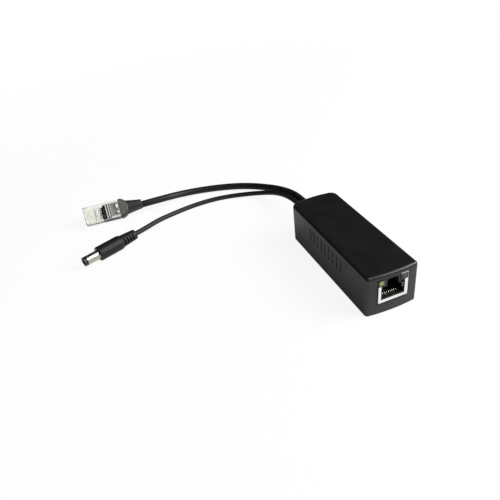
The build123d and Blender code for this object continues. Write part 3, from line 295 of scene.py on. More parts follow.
@dataclass(frozen=True)
class Spotted:
    """A finish with painted light round one place, in another colour."""

    spot: Point = (0.0, 0.0, 0.0)
    painted_light_colour: Colour = WHITE
    near: float = 0.0005
    far: float = 0.0018

    def tint(self, shader: Shader, plain: Any) -> NodeSocket:
        """Paints light round the spot: goes from its colour to the plain one with distance from
        the spot.
        """
        factor = shader.distance(self.spot).ramp(self.near, self.far)
        # painted light: the spot's colour is light painted into the surface
        return shader.blend(factor, self.painted_light_colour, plain)


@dataclass(frozen=True)
class PaintedLightMoulding(Spotted, Moulding):
    """Moulded plastic with a pale patch painted round one place, a painted reflection."""


@dataclass(frozen=True)
class Metal(Recipe):
    """Bare or plated metal with fine drawing lines along one axis."""

    roughness: float = 0.22
    stretch: Point = (1.0, 1.0, 1.0)
    line_scale: float = 1500.0
    line_depth: float = 0.000003
    metallic: float = 1.0
    dulling: float = 0.86
    stain_scale: float = 140.0
    line_polish: float = 0.14
    stain_polish: float = 0.10

    def build(self) -> Material:
        """Makes the material."""
        shader = Shader(self.name)
        stretched = shader.vector("MULTIPLY", shader.place(), self.stretch)[0]
        line = shader.noise(self.line_scale, 3.0, stretched)
        stain = shader.noise(self.stain_scale, 4.0)
        dull = tuple(part * self.dulling for part in self.colour)
        polish = (line - 0.5) * self.line_polish + (stain - 0.5) * self.stain_polish
        shader.set(
            Base_Color=self.tint(shader, shader.blend(stain.ramp(0.45, 0.8), self.colour, dull)),
            Metallic=self.metallic,
            Roughness=self.roughness + polish,
        )
        shader.bump(line, self.line_depth)
        return shader.material


@dataclass(frozen=True)
class FrameMetal(Metal):
    """The jack's sheet metal, with painted shade on the rim in the window's gap."""

    front: float = 0.0388
    left: float = 0.00772
    right: float = 0.00794
    bottom: float = 0.00642
    top: float = 0.01958
    lit_top: float = 0.0040
    soft: float = 0.00006
    painted_rim_shade: Colour = (0.020, 0.020, 0.018)

    def tint(self, shader: Shader, plain: NodeSocket) -> NodeSocket:
        """Paints shade on the front frame outside an oblong, save the top bar's right part."""
        x, y, z = shader.split(shader.place())
        soft = self.soft
        sides = (0.0 - x).past(self.left, soft) + x.past(self.right, soft)
        below = (0.0 - z).past(-self.bottom, soft)
        above = z.past(self.top - soft, soft) * (1.0 - x.past(self.lit_top, soft))
        outside = (sides + below + above).ramp(0.0, 1.0)
        ahead = (0.0 - y).past(self.front, soft)
        # painted shade: the window's shadow darkens the frame's rim
        return shader.blend(outside * ahead, plain, self.painted_rim_shade)


@dataclass(frozen=True)
class Clear(Recipe):
    """Clear or tinted hard plastic, smooth, with a little flow haze."""

    roughness: float = 0.04
    transmission: float = 1.0
    ior: float = 1.49
    haze_scale: float = 260.0
    haze_blur: float = 0.05
    haze_depth: float = 0.00003

    def build(self) -> Material:
        """Makes the material."""
        shader = Shader(self.name)
        haze = shader.noise(self.haze_scale, 3.0)
        shader.set(
            Base_Color=self.tint(shader, self.colour),
            Roughness=self.roughness + haze * self.haze_blur,
            IOR=self.ior,
            Transmission_Weight=self.transmission,
        )
        shader.bump(haze, self.haze_depth, 0.4)
        return shader.material


@dataclass(frozen=True)
class Lens(Spotted, Clear):
    """Tinted plastic of a small light, with a glow painted round one place."""


@dataclass(frozen=True)
class Board(Recipe):
    """Green solder mask with copper showing faintly through it."""

    copper: Colour
    cell_scale: float = 320.0

    def build(self) -> Material:
        """Makes the material."""
        shader = Shader(self.name)
        settings = {"feature": "F1", "distance": "CHEBYCHEV"}
        inputs = {"Scale": self.cell_scale}
        cell = shader.value("ShaderNodeTexVoronoi", settings, inputs, "Distance")
        track = cell.ramp(0.30, 0.36)
        shader.set(
            Base_Color=shader.blend(track * 0.5, self.colour, self.copper),
            Roughness=0.34 + shader.noise(800.0) * 0.1,
        )
        shader.bump(track, 0.00003)
        return shader.material


@dataclass(frozen=True)
class Insulation:
    """Coloured insulation on a row of cores."""

    name: str
    origin: Point
    across: Point
    pitch: float
    colours: tuple[Colour, ...]

    def build(self) -> Material:
        """Makes the material.

        Returns:
            The material. Each core's place across the row picks its colour.
        """
        shader = Shader(self.name)
        offset = shader.vector("SUBTRACT", shader.place(), self.origin)[0]
        reach = Signal(shader, shader.vector("DOT_PRODUCT", offset, self.across)[1])
        count = len(self.colours)
        share = reach * (1.0 / (self.pitch * count)) + 0.5
        stops = [(index / count, colour) for index, colour in enumerate(self.colours)]
        ramp = shader.node("ShaderNodeValToRGB", {"stops": stops}, {0: share})
        shader.set(Base_Color=ramp.outputs[0], Roughness=0.4 + shader.noise(900.0) * 0.1)
        return shader.material


class Finish(Enum):
    """Every finish on the object, by the piece that it is for."""

    CASE = GroovedMoulding("case_black", (0.0080, 0.0086, 0.0083), 0.38, specular=0.42)
    COVER = Moulding("cover_black", (0.0085, 0.0090, 0.0088), 0.50, 0.00003, specular=0.42)
    # painted reflection: a pale patch painted on the housing inside the port
    HOUSING = PaintedLightMoulding(
        *("housing_black", (0.0105, 0.0108, 0.0090), 0.36, 0.00001),
        specular=0.28,
        spot=(0.00595, -0.0370, 0.0124),
        painted_light_colour=(0.120, 0.135, 0.130),
        near=0.0004,
        far=0.0022,
    )
    PACKAGE = Moulding("package_black", (0.018, 0.018, 0.018), 0.5)
    WHITE_PACKAGE = Moulding("package_white", (0.72, 0.72, 0.68), 0.4)
    FERRITE = Moulding("ferrite_grey", (0.045, 0.045, 0.048), 0.6, 0.00004, 4200.0)
    BOBBIN = Moulding("bobbin_black", (0.02, 0.02, 0.02), 0.45)
    WINDING = Moulding("winding_tape", (0.62, 0.36, 0.02), 0.25, 0.00001)
    CAN = Moulding("capacitor_sleeve", (0.035, 0.045, 0.11), 0.28, 0.00001)
    CHIP = Moulding("chip_tan", (0.32, 0.19, 0.09), 0.45)
    CABLE = Moulding(
        "cable_black", (0.0085, 0.0085, 0.0082), 0.52, 0.000006, 1800.0, specular=0.35
    )
    # painted light: the boot's contact face is a lighter copy of the neck's rubber
    BOOT = Moulding(
        "boot_grey", (0.105, 0.103, 0.093), 0.60, 0.00003, blotch=0.08, specular=0.3
    )
    NECK = Moulding("neck_black", (0.0300, 0.0298, 0.0275), 0.42, 0.00003)
    GRIP = Moulding("grip_black", (0.0090, 0.0090, 0.0088), 0.48, 0.00003, specular=0.28)
    INSULATOR = Moulding("insulator_black", (0.010, 0.010, 0.010), 0.25, 0.00001)
    SHIELD = FrameMetal("shield_tin", (0.86, 0.86, 0.85), 0.26, (1.0, 1.0, 0.06))
    WIRE = Metal("wire_gold", (0.95, 0.92, 0.80), 0.25, (1.0, 0.08, 1.0))
    PALE_GOLD = Metal("blade_gold", (0.96, 0.95, 0.80), 0.35, (1.0, 0.08, 1.0), metallic=0.2)
    NICKEL = Metal("barrel_nickel", (0.50, 0.49, 0.41), 0.32, line_depth=0.000001)
    # painted glow and highlight on both lenses; neither is a lamp
    GREEN_LIGHT = Lens(
        *("light_green", (0.030, 0.045, 0.004), 0.20, 0.35, 1.5),
        spot=(-0.0063, -0.0397, 0.0180),
        painted_light_colour=(0.374, 0.446, 0.144),
    )
    CLEAR_LIGHT = Lens(
        *("light_clear", (0.020, 0.022, 0.021), 0.15, 0.35, 1.5),
        spot=(0.0066, -0.0397, 0.0188),
        painted_light_colour=(0.075, 0.085, 0.080),
        far=0.0026,
    )
    PLUG = Clear("plug_clear", (0.86, 0.87, 0.82), 0.03)
    COMB = Clear("plug_comb", (0.97, 0.98, 0.87), 0.30, 0.15)
    HAZE = Clear("plug_haze", (0.90, 0.90, 0.86), 0.20, 0.45)
    # partly painted light: frosted plastic on the bars, painted lighter against the shade of
    # their walls
    BARS = Clear("plug_bars", (0.72, 0.72, 0.68), 0.25, 0.12)
    FROSTED = Clear("plug_frosted", (0.62, 0.62, 0.57), 0.35, 0.60)
    # partly painted light: paler frosted plastic on the rear slope, painted lighter for the
    # light the slope reflects
    RAMP = Clear("plug_ramp", (0.86, 0.86, 0.82), 0.14, 0.45)
    # painted highlight: near-white glints on the two pads
    GLINT = Clear("plug_painted_glint", (1.0, 1.0, 0.98), 0.10, 0.10)
    BOARD = Board("board_green", (0.006, 0.055, 0.020), (0.05, 0.13, 0.04))
    CORES = Insulation(
        *("core_colours", (0.001625, 0.0, 0.0), (1.0, 0.0, 0.0), 0.001),
        ((0.70, 0.22, 0.04), (0.08, 0.40, 0.10), (0.05, 0.12, 0.50), (0.25, 0.12, 0.06)),
    )


class Painter:
    """Makes each finish once and puts it on nodes."""

    def __init__(self) -> None:
        """Starts with nothing made."""
        self.made: dict[Any, Material] = {}

    def material(self, finish: Finish | Insulation) -> Material:
        """The material of a finish, made the first time it is asked for."""
        recipe = finish.value if isinstance(finish, Finish) else finish
        if recipe not in self.made:
            self.made[recipe] = recipe.build()
        return self.made[recipe]

    def dress(self, finishes: Dressing) -> list[Object]:
        """Gives CAD nodes their finishes, in each of their material slots.

        Args:
            finishes: rows of a finish and the names of its nodes.

        Returns:
            The nodes' objects.
        """
        pairs = [(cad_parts[name], row[0]) for row in finishes for name in row[1:]]
        for node, finish in pairs:
            if not node.material_slots:
                node.data.materials.append(None)
            for slot in node.material_slots:
                slot.material = self.material(finish)
        return [node for node, _ in pairs]


class Skin:
    """Grids of points worked out with numpy, joined into one closed piece."""

    def __init__(self, painter: Painter, finishes: Sequence[Finish]) -> None:
        """Starts with no faces. A face's mark is its finish's place."""
        self.materials = [painter.material(finish) for finish in finishes]
        self.points: list[np.ndarray] = []
        self.faces: list[np.ndarray] = []
        self.marks: list[np.ndarray] = []
        self.count = 0

    def sheet(self, points: np.ndarray, marks: Any = 0) -> None:
        """Adds a grid of faces that closes on itself from its last column to its first.

        Args:
            points: rows by columns by three, in millimetres on the piece's own axes.
            marks: one for all the faces or one for each.
        """
        rows, columns = points.shape[:2]
        index = self.count + np.arange(rows * columns).reshape(rows, columns)
        index = np.hstack((index, index[:, :1]))
        corners = (index[:-1, :-1], index[:-1, 1:], index[1:, 1:], index[1:, :-1])
        self.points.append(points.reshape(-1, 3))
        self.faces.append(np.stack(corners, axis=-1).reshape(-1, 4))
        self.marks.append(np.broadcast_to(marks, (rows - 1, columns)).ravel())
        self.count += rows * columns

    def piece(self, name: str, origin: Point, axes: Any, crease: float = 30.0) -> Object:
        """Makes the piece in its place, with its faces outward and its edges crisp.

        Args:
            name: the piece's name.
            origin: where the piece's own axes start, in metres.
            axes: the directions of its three axes.
            crease: the angle in degrees past which an edge is sharp.

        Returns:
            The object, which rides on the body.
        """
        turn = np.array([tuple(axis) for axis in axes])
        placed = np.array(origin) + np.concatenate(self.points) * MM @ turn
        mesh = bpy.data.meshes.new(name)
        mesh.from_pydata(placed.tolist(), [], np.concatenate(self.faces).tolist())
        marks = np.concatenate(self.marks).astype(np.int32)
        mesh.polygons.foreach_set("material_index", marks)
        for material in self.materials:
            mesh.materials.append(material)
        joined = bmesh.new()
        joined.from_mesh(mesh)
        bmesh.ops.remove_doubles(joined, verts=joined.verts, dist=SAME_PLACE)
        bmesh.ops.recalc_face_normals(joined, faces=joined.faces)
        joined.to_mesh(mesh)
        joined.free()
        mesh.shade_smooth()
        mesh.set_sharp_from_angle(angle=radians(crease))
        made = add_object(name, mesh)
        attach(made, BODY)
        log.info("%s has %d faces", name, len(mesh.polygons))
        return made


def points(across: Any, along: Any, level: Any) -> np.ndarray:
    """Joins three coordinates into points, each spread over the whole grid."""
    return np.stack(np.broadcast_arrays(across, along, level), axis=-1)


def spread(count: int, pitch: float) -> np.ndarray:
    """Evenly spaced places about nought."""
    return (np.arange(count) - (count - 1) / 2) * pitch


def between(place: np.ndarray, start: Any, stop: Any, wall: float) -> np.ndarray:
    """One from start to stop and nought outside, with straight walls inside both ends."""
    return np.clip((place - start) / wall, 0, 1) * np.clip((stop - place) / wall, 0, 1)


def bends(start: float, stop: float, wall: float) -> np.ndarray:
    """The four places where that step changes its slope."""
    return np.array([start, start + wall, stop - wall, stop])


def within(place: np.ndarray, spans: Sequence[Span]) -> np.ndarray:
    """Whether each place lies in one of several spans."""
    return np.any([(place > start) & (place < stop) for start, stop in spans], axis=0)


def rounded(start: Span, stop: Span, outward: bool) -> np.ndarray:
    """A quarter of an ellipse between two points.

    Args:
        start: its first point, as (along, out).
        stop: its last point.
        outward: whether it leaves its start outward, not along.

    Returns:
        Rows of (along, out). One goes with the turn's sine and the other with
        one less its cosine.
    """
    turn = np.linspace(0, pi / 2, 7)
    quick, slow = np.sin(turn), 1 - np.cos(turn)
    shares = (slow, quick) if outward else (quick, slow)
    return np.array(start) + np.subtract(stop, start) * np.column_stack(shares)


@dataclass
class Viewpoint:
    """The camera that took the photograph, as fitted to the case's edges."""

    azimuth: float = -17.302
    elevation: float = 35.328
    roll: float = -7.791
    place: Point = (-0.111381, -0.187144, 0.168162)
    lens: float = 36.477
    sensor: float = 36.0
    nearest: float = 0.01

    def build(self) -> None:
        """Adds the camera and makes it the scene's own."""
        turn = Matrix.Rotation(radians(self.azimuth), 4, "Z")
        turn @= Matrix.Rotation(radians(90.0 - self.elevation), 4, "X")
        turn @= Matrix.Rotation(radians(self.roll), 4, "Z")
        data = bpy.data.cameras.new("viewpoint")
        data.lens = self.lens
        data.sensor_width = self.sensor
        data.sensor_fit = "HORIZONTAL"
        data.clip_start = self.nearest
        camera = add_object("viewpoint", data)
        camera.matrix_world = Matrix.Translation(self.place) @ turn
        bpy.context.scene.camera = camera


@dataclass(frozen=True)
class Softbox:
    """One soft square lamp."""

    name: str
    place: Point
    size: float
    power: float


@dataclass
class Studio:
    """Pale floor, soft lamps and a dim surround."""

    floor_half: float = 6.0
    floor_colour: Colour = (0.92, 0.92, 0.91)
    lift: float = 0.90
    fade: Span = (0.18, 0.60)
    gloss_lift: float = 0.12
    ambient: float = 0.16
    reflected: float = 0.02
    aim: Point = (-0.04, 0.04, 0.0)
    lamps: tuple[Softbox, ...] = (
        Softbox("top_softbox", (0.30, -0.35, 1.25), 0.32, 3.4),
        Softbox("right_softbox", (0.95, -0.45, 0.75), 0.8, 24.0),
    )

    def build(self) -> None:
        """Adds the floor, the lamps and the world."""
        bpy.context.scene.view_settings.view_transform = "Standard"
        self._add_floor()
        for lamp in self.lamps:
            self._add_lamp(lamp)
        self._set_world()

    def _add_floor(self) -> None:
        """Adds a level sheet, lifted to white where it is seen, with a faint shadow."""
        half = self.floor_half
        mesh = bpy.data.meshes.new("floor")
        corners = [(-half, -half, 0), (half, -half, 0), (half, half, 0), (-half, half, 0)]
        mesh.from_pydata(corners, [], [(0, 1, 2, 3)])
        floor = add_object("floor", mesh)
        shader = Shader("floor_white")
        path = shader.node("ShaderNodeLightPath", {}, {}).outputs
        camera, through, glossy = (Signal(shader, path[rays]) for rays in SEEING_RAYS)
        far = shader.distance((0.0, 0.0, 0.0)).ramp(*self.fade)
        lift = self.lift + far * (1.0 - self.lift)
        seen = (camera + through) * lift + glossy * self.gloss_lift
        white = shader.node("ShaderNodeEmission", {}, {"Color": WHITE, "Strength": 1.0})
        shader.set(Base_Color=self.floor_colour, Roughness=0.9, Specular_IOR_Level=0.0)
        inputs = {0: seen, 1: shader.surface.outputs[0], 2: white.outputs[0]}
        mixed = shader.node("ShaderNodeMixShader", {}, inputs)
        shader.feed(shader.output.inputs["Surface"], mixed.outputs[0])
        mesh.materials.append(shader.material)

    def _add_lamp(self, lamp: Softbox) -> None:
        """Adds one lamp, turned to the middle of the object."""
        data = bpy.data.lights.new(lamp.name, "AREA")
        data.shape = "SQUARE"
        data.size = lamp.size
        data.energy = lamp.power
        made = add_object(lamp.name, data)
        turn = (Vector(self.aim) - Vector(lamp.place)).to_track_quat("-Z", "Y").to_matrix()
        made.matrix_world = Matrix.Translation(lamp.place) @ turn.to_4x4()

    def _set_world(self) -> None:
        """Makes the surround dim, darker in reflections, and white where seen."""
        world = bpy.data.worlds.new("surround")
        bpy.context.scene.world = world
        world.use_nodes = True
        graph = Graph(world.node_tree)
        path = graph.node("ShaderNodeLightPath", {}, {}).outputs
        shades = []
        for strength in (self.ambient, self.reflected, 1.0, 1.0):
            inputs = {"Color": WHITE, "Strength": strength}
            shades.append(graph.node("ShaderNodeBackground", {}, inputs).outputs[0])
        shade = shades[0]
        for rays, other in zip(reversed(SEEING_RAYS), shades[1:]):
            inputs = {0: path[rays], 1: shade, 2: other}
            shade = graph.node("ShaderNodeMixShader", {}, inputs).outputs[0]
        graph.node("ShaderNodeOutputWorld", {}, {"Surface": shade})


@dataclass
class Lead:
    """One free lead: a smooth round cable along a given route."""

    name: str
    diameter: float
    length: float
    route: tuple[Point, ...]

    def build(self, painter: Painter) -> Object:
        """Adds the cable as a smooth curve that its route steers.

        Args:
            painter: gives the cable its finish.

        Returns:
            The curve object.
        """
        data = bpy.data.curves.new(self.name + "_run", "CURVE")
        data.dimensions = "3D"
        spline = data.splines.new("NURBS")
        spline.points.add(len(self.route) - 1)
        places = np.ones((len(self.route), 4))
        places[:, :3] = np.array(self.route) * MM
        spline.points.foreach_set("co", places.ravel())
        spline.order_u = 3
        spline.use_endpoint_u = True
        spline.resolution_u = 16
        data.bevel_depth = self.diameter / 2
        data.bevel_resolution = 6
        data.use_fill_caps = True
        cable = add_object(data.name, data)
        data.materials.append(painter.material(Finish.CABLE))
        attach(cable, BODY)
        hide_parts(self.name)
        log.info("%s follows %d points", cable.name, len(self.route))
        return cable


DATA_LEAD = Lead(
    "data_cable",
    0.0044,
    0.140,
    (
        (1.625, 46.0, 11.25), (1.625, 57.5, 11.25), (0.7, 69.0, 10.4), (-2.3, 81.5, 8.2),
        (-6.7, 94.0, 5.1), (-13.0, 104.6, 3.0), (-22.4, 112.0, 2.35), (-34.0, 117.0, 2.3),
        (-46.5, 120.5, 2.4), (-59.5, 120.6, 3.6), (-72.54, 115.63, 6.6), (-87.5, 116.6, 6.2),
    ),
)
POWER_LEAD = Lead(
    "power_cable",
    0.0030,
    0.141,
    (
        (-2.325, 46.0, 11.25), (-2.325, 57.0, 11.25), (-3.3, 67.5, 10.3), (-5.8, 78.5, 8.0),
        (-10.2, 88.0, 4.9), (-17.0, 95.6, 2.6), (-26.5, 101.0, 1.65), (-38.0, 103.8, 1.6),
        (-50.0, 104.3, 1.6), (-61.0, 102.8, 1.7), (-72.0, 99.3, 2.4), (-81.8, 94.5, 3.7),
        (-90.34, 88.8, 4.4), (-98.83, 85.25, 4.4),
    ),
)


@dataclass
class DataPlug:
    """The clear plug, its contacts, its wires and its boot.

    Lengths are in millimetres, save the nose's place in metres. A row of the
    latch is (share of its length, half width, half thickness), and one of the
    neck is (place behind the body, half width, half height).
    """

    heading: float = 175.25
    roll: float = 49.97
    nose: Point = (-0.12396, 0.12244, 0.00448)
    finishes: tuple[Finish, ...] = (
        *(Finish.PLUG, Finish.FROSTED, Finish.RAMP, Finish.GLINT),
        *(Finish.COMB, Finish.BARS, Finish.HAZE),
    )
    pitch: float = 1.02
    slot_count: int = 8
    width: float = 11.7
    length: float = 23.0
    height: float = 6.6
    edge: float = 0.35
    wall: float = 0.03
    slot_half: float = 0.28
    slot_end: float = 6.8
    slot_depth: float = 0.3
    comb_sides: Span = (-4.4, 4.4)
    haze_end: float = 10.3
    line: Span = (7.2, 7.5)
    line_sides: Span = (-2.4, 4.4)
    line_depth: float = 0.4
    bars: tuple[Span, ...] = ((14.2, 15.1), (15.7, 16.6))
    bar_sides: Span = (-4.8, 4.8)
    bar_depth: float = 0.3
    block_front: float = 17.0
    block_sides: Span = (-4.2, 4.2)
    block_wall: float = 0.05
    block_depth: float = 1.3
    margin_sides: Span = (-5.2, 5.2)
    ramp: Span = (20.6, 22.2)
    pads: Span = (20.9, 22.2)
    pad_sides: tuple[Span, ...] = ((-3.2, -0.6), (1.5, 2.7))
    pad_walls: Span = (0.2, 0.1)
    top_zone: float = 1.34
    latch_span: Span = (0.9, 16.0)
    latch_level: float = 0.21
    latch_bend: float = 0.04
    latch_drop: float = 4.62
    latch_curl: float = 0.15
    latch: tuple[Point, ...] = (
        (0.0, 0.0, 0.0), (0.0, 3.0, 0.25), (0.08, 3.0, 0.52), (0.15, 3.0, 0.52),
        (0.22, 3.0, 0.52), (0.30, 3.0, 0.52), (0.503, 3.0, 0.52), (0.503, 1.9, 0.52),
        (0.52, 1.65, 0.52), (0.56, 1.65, 0.52), (0.7, 1.65, 0.52), (0.85, 1.65, 0.52),
        (0.985, 1.65, 0.52), (1.0, 1.5, 0.4), (1.0, 0.0, 0.0),
    )
    boot_width: float = 12.3
    boot_height: float = 7.2
    boot_rim: float = 1.1
    boot_straight: float = 0.45
    boot_bow: float = 5.25
    neck: tuple[Point, ...] = (
        (3.0, 0.0, 0.0), (3.0, 5.0, 3.3), (5.0, 4.60, 3.26), (8.0, 4.05, 3.20),
        (11.0, 3.55, 3.12), (13.9, 3.12, 3.06), (14.35, 3.05, 3.00), (14.5, 2.85, 2.85),
        (14.5, 0.0, 0.0),
    )

    def axes(self) -> tuple[Vector, Vector, Vector]:
        """The plug's directions: across it, rearward, and out of its contact face."""
        heading, roll = radians(self.heading), radians(self.roll)
        ahead = Vector((cos(heading), sin(heading), 0.0))
        level = Vector((-ahead.y, ahead.x, 0.0))
        normal = level * sin(roll) + Vector((0, 0, 1)) * cos(roll)
        return (-ahead).cross(normal), -ahead, normal

    def build(self, painter: Painter) -> list[Object]:
        """Makes the body and the boot, and dresses the rest.

        Args:
            painter: gives each piece its finish.

        Returns:
            All the pieces of the plug.
        """
        shells = [self._body(painter), self._boot(painter)]
        inner = (
            (Finish.PALE_GOLD, "data_plug_contacts"),
            (self._wire_colours(), "data_plug_wires"),
            (Finish.CABLE, "data_cable_jacket_end"),
        )
        return shells + painter.dress(inner)

    def _wire_colours(self) -> Insulation:
        """Pale insulation, every second wire with a faint colour of its own."""
        pale = (0.88, 0.87, 0.84)
        tints = ((0.84, 0.82, 0.78), (0.77, 0.79, 0.80), (0.78, 0.80, 0.76), (0.74, 0.72, 0.69))
        colours = tuple(colour for tint in tints for colour in (pale, tint))
        across = tuple(self.axes()[0])
        return Insulation("plug_wire_colours", self.nose, across, self.pitch * MM, colours)

    def _places(self) -> tuple[np.ndarray, np.ndarray]:
        """The body's grid, with a line at every bend of its surface.

        Returns:
            The places across and rearward, with a row for each place across.
        """
        half, edge, wall, block = self.width / 2, self.edge, self.wall, self.block_front
        slots = spread(self.slot_count, self.pitch)[:, None]
        cuts = slots + bends(-self.slot_half, self.slot_half, wall)
        ends = [-half, edge - half, half - edge, half, *self.margin_sides, *self.comb_sides]
        steps = [bends(*span, self.pad_walls[0]) for span in self.pad_sides]
        for sides in (self.bar_sides, self.block_sides, self.line_sides):
            steps.append(bends(*sides, wall))
        across = np.concatenate((cuts.ravel(), ends, *steps))
        ends = [0, edge, self.slot_end - wall, self.slot_end, self.length - edge, self.length]
        ends += [block, block + self.block_wall, self.ramp[0]]
        steps = [bends(*span, wall) for span in (self.line, *self.bars)]
        steps.append(bends(*self.pads, self.pad_walls[1]))
        slope = np.linspace(self.ramp[0] + 0.2, self.ramp[1], 7)
        plain = np.linspace(self.line[1], self.bars[0][0], 4)
        along = np.round(np.concatenate((ends, *steps, slope, plain)), 4)
        x, y = np.meshgrid(np.unique(across), np.unique(along), indexing="ij")
        return x, y

    def _depth(self, x: np.ndarray, y: np.ndarray) -> np.ndarray:
        """How far the contact side is cut in.

        Args:
            x: the places across.
            y: the places rearward.

        Returns:
            The deepest of the slots, the line behind them, the two bars and
            the block, which rises to its rear as a smooth step, save on two
            raised pads.
        """
        wall, slots, (start, stop) = self.wall, spread(self.slot_count, self.pitch), self.ramp
        lows, highs = slots - self.slot_half, slots + self.slot_half
        comb = between(x[..., None], lows, highs, wall).max(axis=-1)
        comb = comb * np.clip((self.slot_end - y) / wall, 0, 1)
        line = between(y, *self.line, wall) * between(x, *self.line_sides, wall)
        bars = sum(between(y, *bar, wall) for bar in self.bars)
        bars = bars * between(x, *self.bar_sides, wall)
        pads = sum(between(x, *span, self.pad_walls[0]) for span in self.pad_sides)
        pads = pads * between(y, *self.pads, self.pad_walls[1])
        ramp = np.clip((stop - y) / (stop - start), 0, 1)
        sunk = np.clip((y - self.block_front) / self.block_wall, 0, 1)
        sunk = sunk * ramp * ramp * (3 - 2 * ramp) * (1 - pads)
        sunk = sunk * between(x, *self.block_sides, wall)
        cuts = np.stack((comb, line, bars, sunk), axis=-1)
        deep = (self.slot_depth, self.line_depth, self.bar_depth, self.block_depth)
        return (cuts * deep).max(axis=-1)

    def _marks(self, grid: np.ndarray) -> np.ndarray:
        """Picks the finish of each face of the body.

        Args:
            grid: the body's points, rows by columns by three.

        Returns:
            The place in the finishes of the first zone of the contact side
            that holds the face's middle, and nought where none does.
        """
        centre = (grid[:-1] + grid[1:]) / 2
        centre = (centre + np.roll(centre, -1, axis=1)) / 2
        across, along, level = np.moveaxis(centre, -1, 0)
        on_top = level > self.height - self.top_zone
        front, edge, far = self.block_front, self.edge, np.inf
        block, comb = [self.block_sides], [self.comb_sides]
        # GLINT zones hold painted highlights; BARS and RAMP zones are frosted and also painted
        # lighter
        zones = (
            (Finish.GLINT, self.pad_sides, [self.pads]),
            (Finish.RAMP, block, [(self.ramp[0], far)]),
            (Finish.FROSTED, block, [(front + self.block_wall, far)]),
            (Finish.BARS, [self.margin_sides], [(front, far)]),
            (Finish.BARS, [self.bar_sides], self.bars),
            (Finish.FROSTED, [self.line_sides], [self.line]),
            (Finish.COMB, comb, [(edge, self.slot_end)]),
            (Finish.HAZE, comb, [(self.slot_end, self.haze_end)]),
            (Finish.RAMP, [(-far, far)], [(-far, edge)]),
        )
        held = [on_top & within(across, wide) & within(along, long) for _, wide, long in zones]
        return np.select(held, [self.finishes.index(finish) for finish, _, _ in zones], 0)

    def _body(self, painter: Painter) -> Object:
        """Makes the clear body with its latch.

        Returns:
            The piece. Its top is the height less the cuts and the slope at
            the outer edges. Each column goes round along the underside, up
            the nose, along the top and down the rear, and the outer columns
            close on their middles.
        """
        x, y = self._places()
        half, edge, length = self.width / 2, self.edge, self.length
        rim = np.clip(np.abs(x) - (half - edge), 0, edge)
        slope = np.maximum(rim, np.maximum(edge - y, y - (length - edge)))
        place = np.clip(y, rim, length - rim)
        cut = np.maximum(self._depth(x, y), slope)
        top = points(x, place, self.height - cut)
        base = points(x, place, np.maximum(slope, 0))
        middle = (top + base) / 2
        middle[..., 2] = self.height / 2
        loop = np.concatenate((base[:, ::-1], middle[:, :1], top, middle[:, -1:]), axis=1)
        ends = loop[[0, -1]]
        ends[..., 2] = self.height / 2
        grid = np.concatenate((ends[:1], loop, ends[1:]))
        skin = Skin(painter, self.finishes)
        skin.sheet(grid, self._marks(grid))
        skin.sheet(self._latch())
        made = skin.piece("clear_plug_body", self.nose, self.axes())
        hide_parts("data_plug_body")
        return made

    def _latch(self) -> np.ndarray:
        """The latch: a flat bar that leaves the body at the nose and springs away from it.

        Returns:
            Points of an oblong section with cut corners, carried along a
            line that bends out of the body and then runs nearly straight.
        """
        reach, wide, thick = np.array(self.latch).T[..., None]
        start, stop = self.latch_span
        fall = np.clip((reach - self.latch_bend) / (1 - self.latch_bend), 0, 1)
        curl = self.latch_curl * (1 - np.sin(fall * pi / 2))
        level = self.latch_level - self.latch_drop * fall * (1 - curl)
        turn = (np.arange(16) + 0.5) * pi / 8
        square = np.maximum(np.abs(np.cos(turn)), np.abs(np.sin(turn)))
        along = start + reach * (stop - start)
        out = thick * np.sin(turn) / square
        return points(wide * np.cos(turn) / square, along, level + out)

    def _boot(self, painter: Painter) -> Object:
        """Makes the boot's flat rounded head and its round neck.

        Returns:
            The piece. The head is a half-round outline that shrinks as the
            rows go over its rim. Its contact side is painted a lighter grey than
            the rim and neck, painted light on the same rubber. The neck is a
            row of ellipses that end as a circle.
        """
        front, half, middle = self.length, self.boot_width / 2, self.height / 2
        angle = np.radians(np.linspace(2, 178, 45))
        bow = self.boot_straight + self.boot_bow * np.sin(angle)
        flat = np.column_stack((np.linspace(-half, half, 13), np.zeros(13)))
        outline = np.concatenate((np.column_stack((half * np.cos(angle), bow)), flat))
        rim = rounded((0, 0), (self.boot_rim, self.boot_rim), True)[::-1]
        rows = np.concatenate(([(self.boot_width, self.boot_rim)], rim))
        rows += (0, self.boot_height / 2 - self.boot_rim)
        inset, rise = np.concatenate((rows, rows[::-1] * (1, -1))).T[..., None]
        share = np.clip(1 - inset / half, 0, 1)
        across, along = outline[:, 0] * share, front + outline[:, 1] * share
        skin = Skin(painter, (Finish.BOOT, Finish.NECK))
        # painted light: the contact face takes the lighter boot grey, the rim and neck the
        # darker finish
        past_face = np.arange(len(rise) - 1)[:, None] > 0
        skin.sheet(points(across, along, middle + rise), past_face)
        place, wide, tall = np.array(self.neck).T[..., None]
        turn = np.linspace(0, 2 * pi, 48, endpoint=False)
        level = middle + tall * np.sin(turn)
        skin.sheet(points(wide * np.cos(turn), front + place, level), 1)
        made = skin.piece("plug_boot", self.nose, self.axes())
        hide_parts("data_plug_boot")
        return made


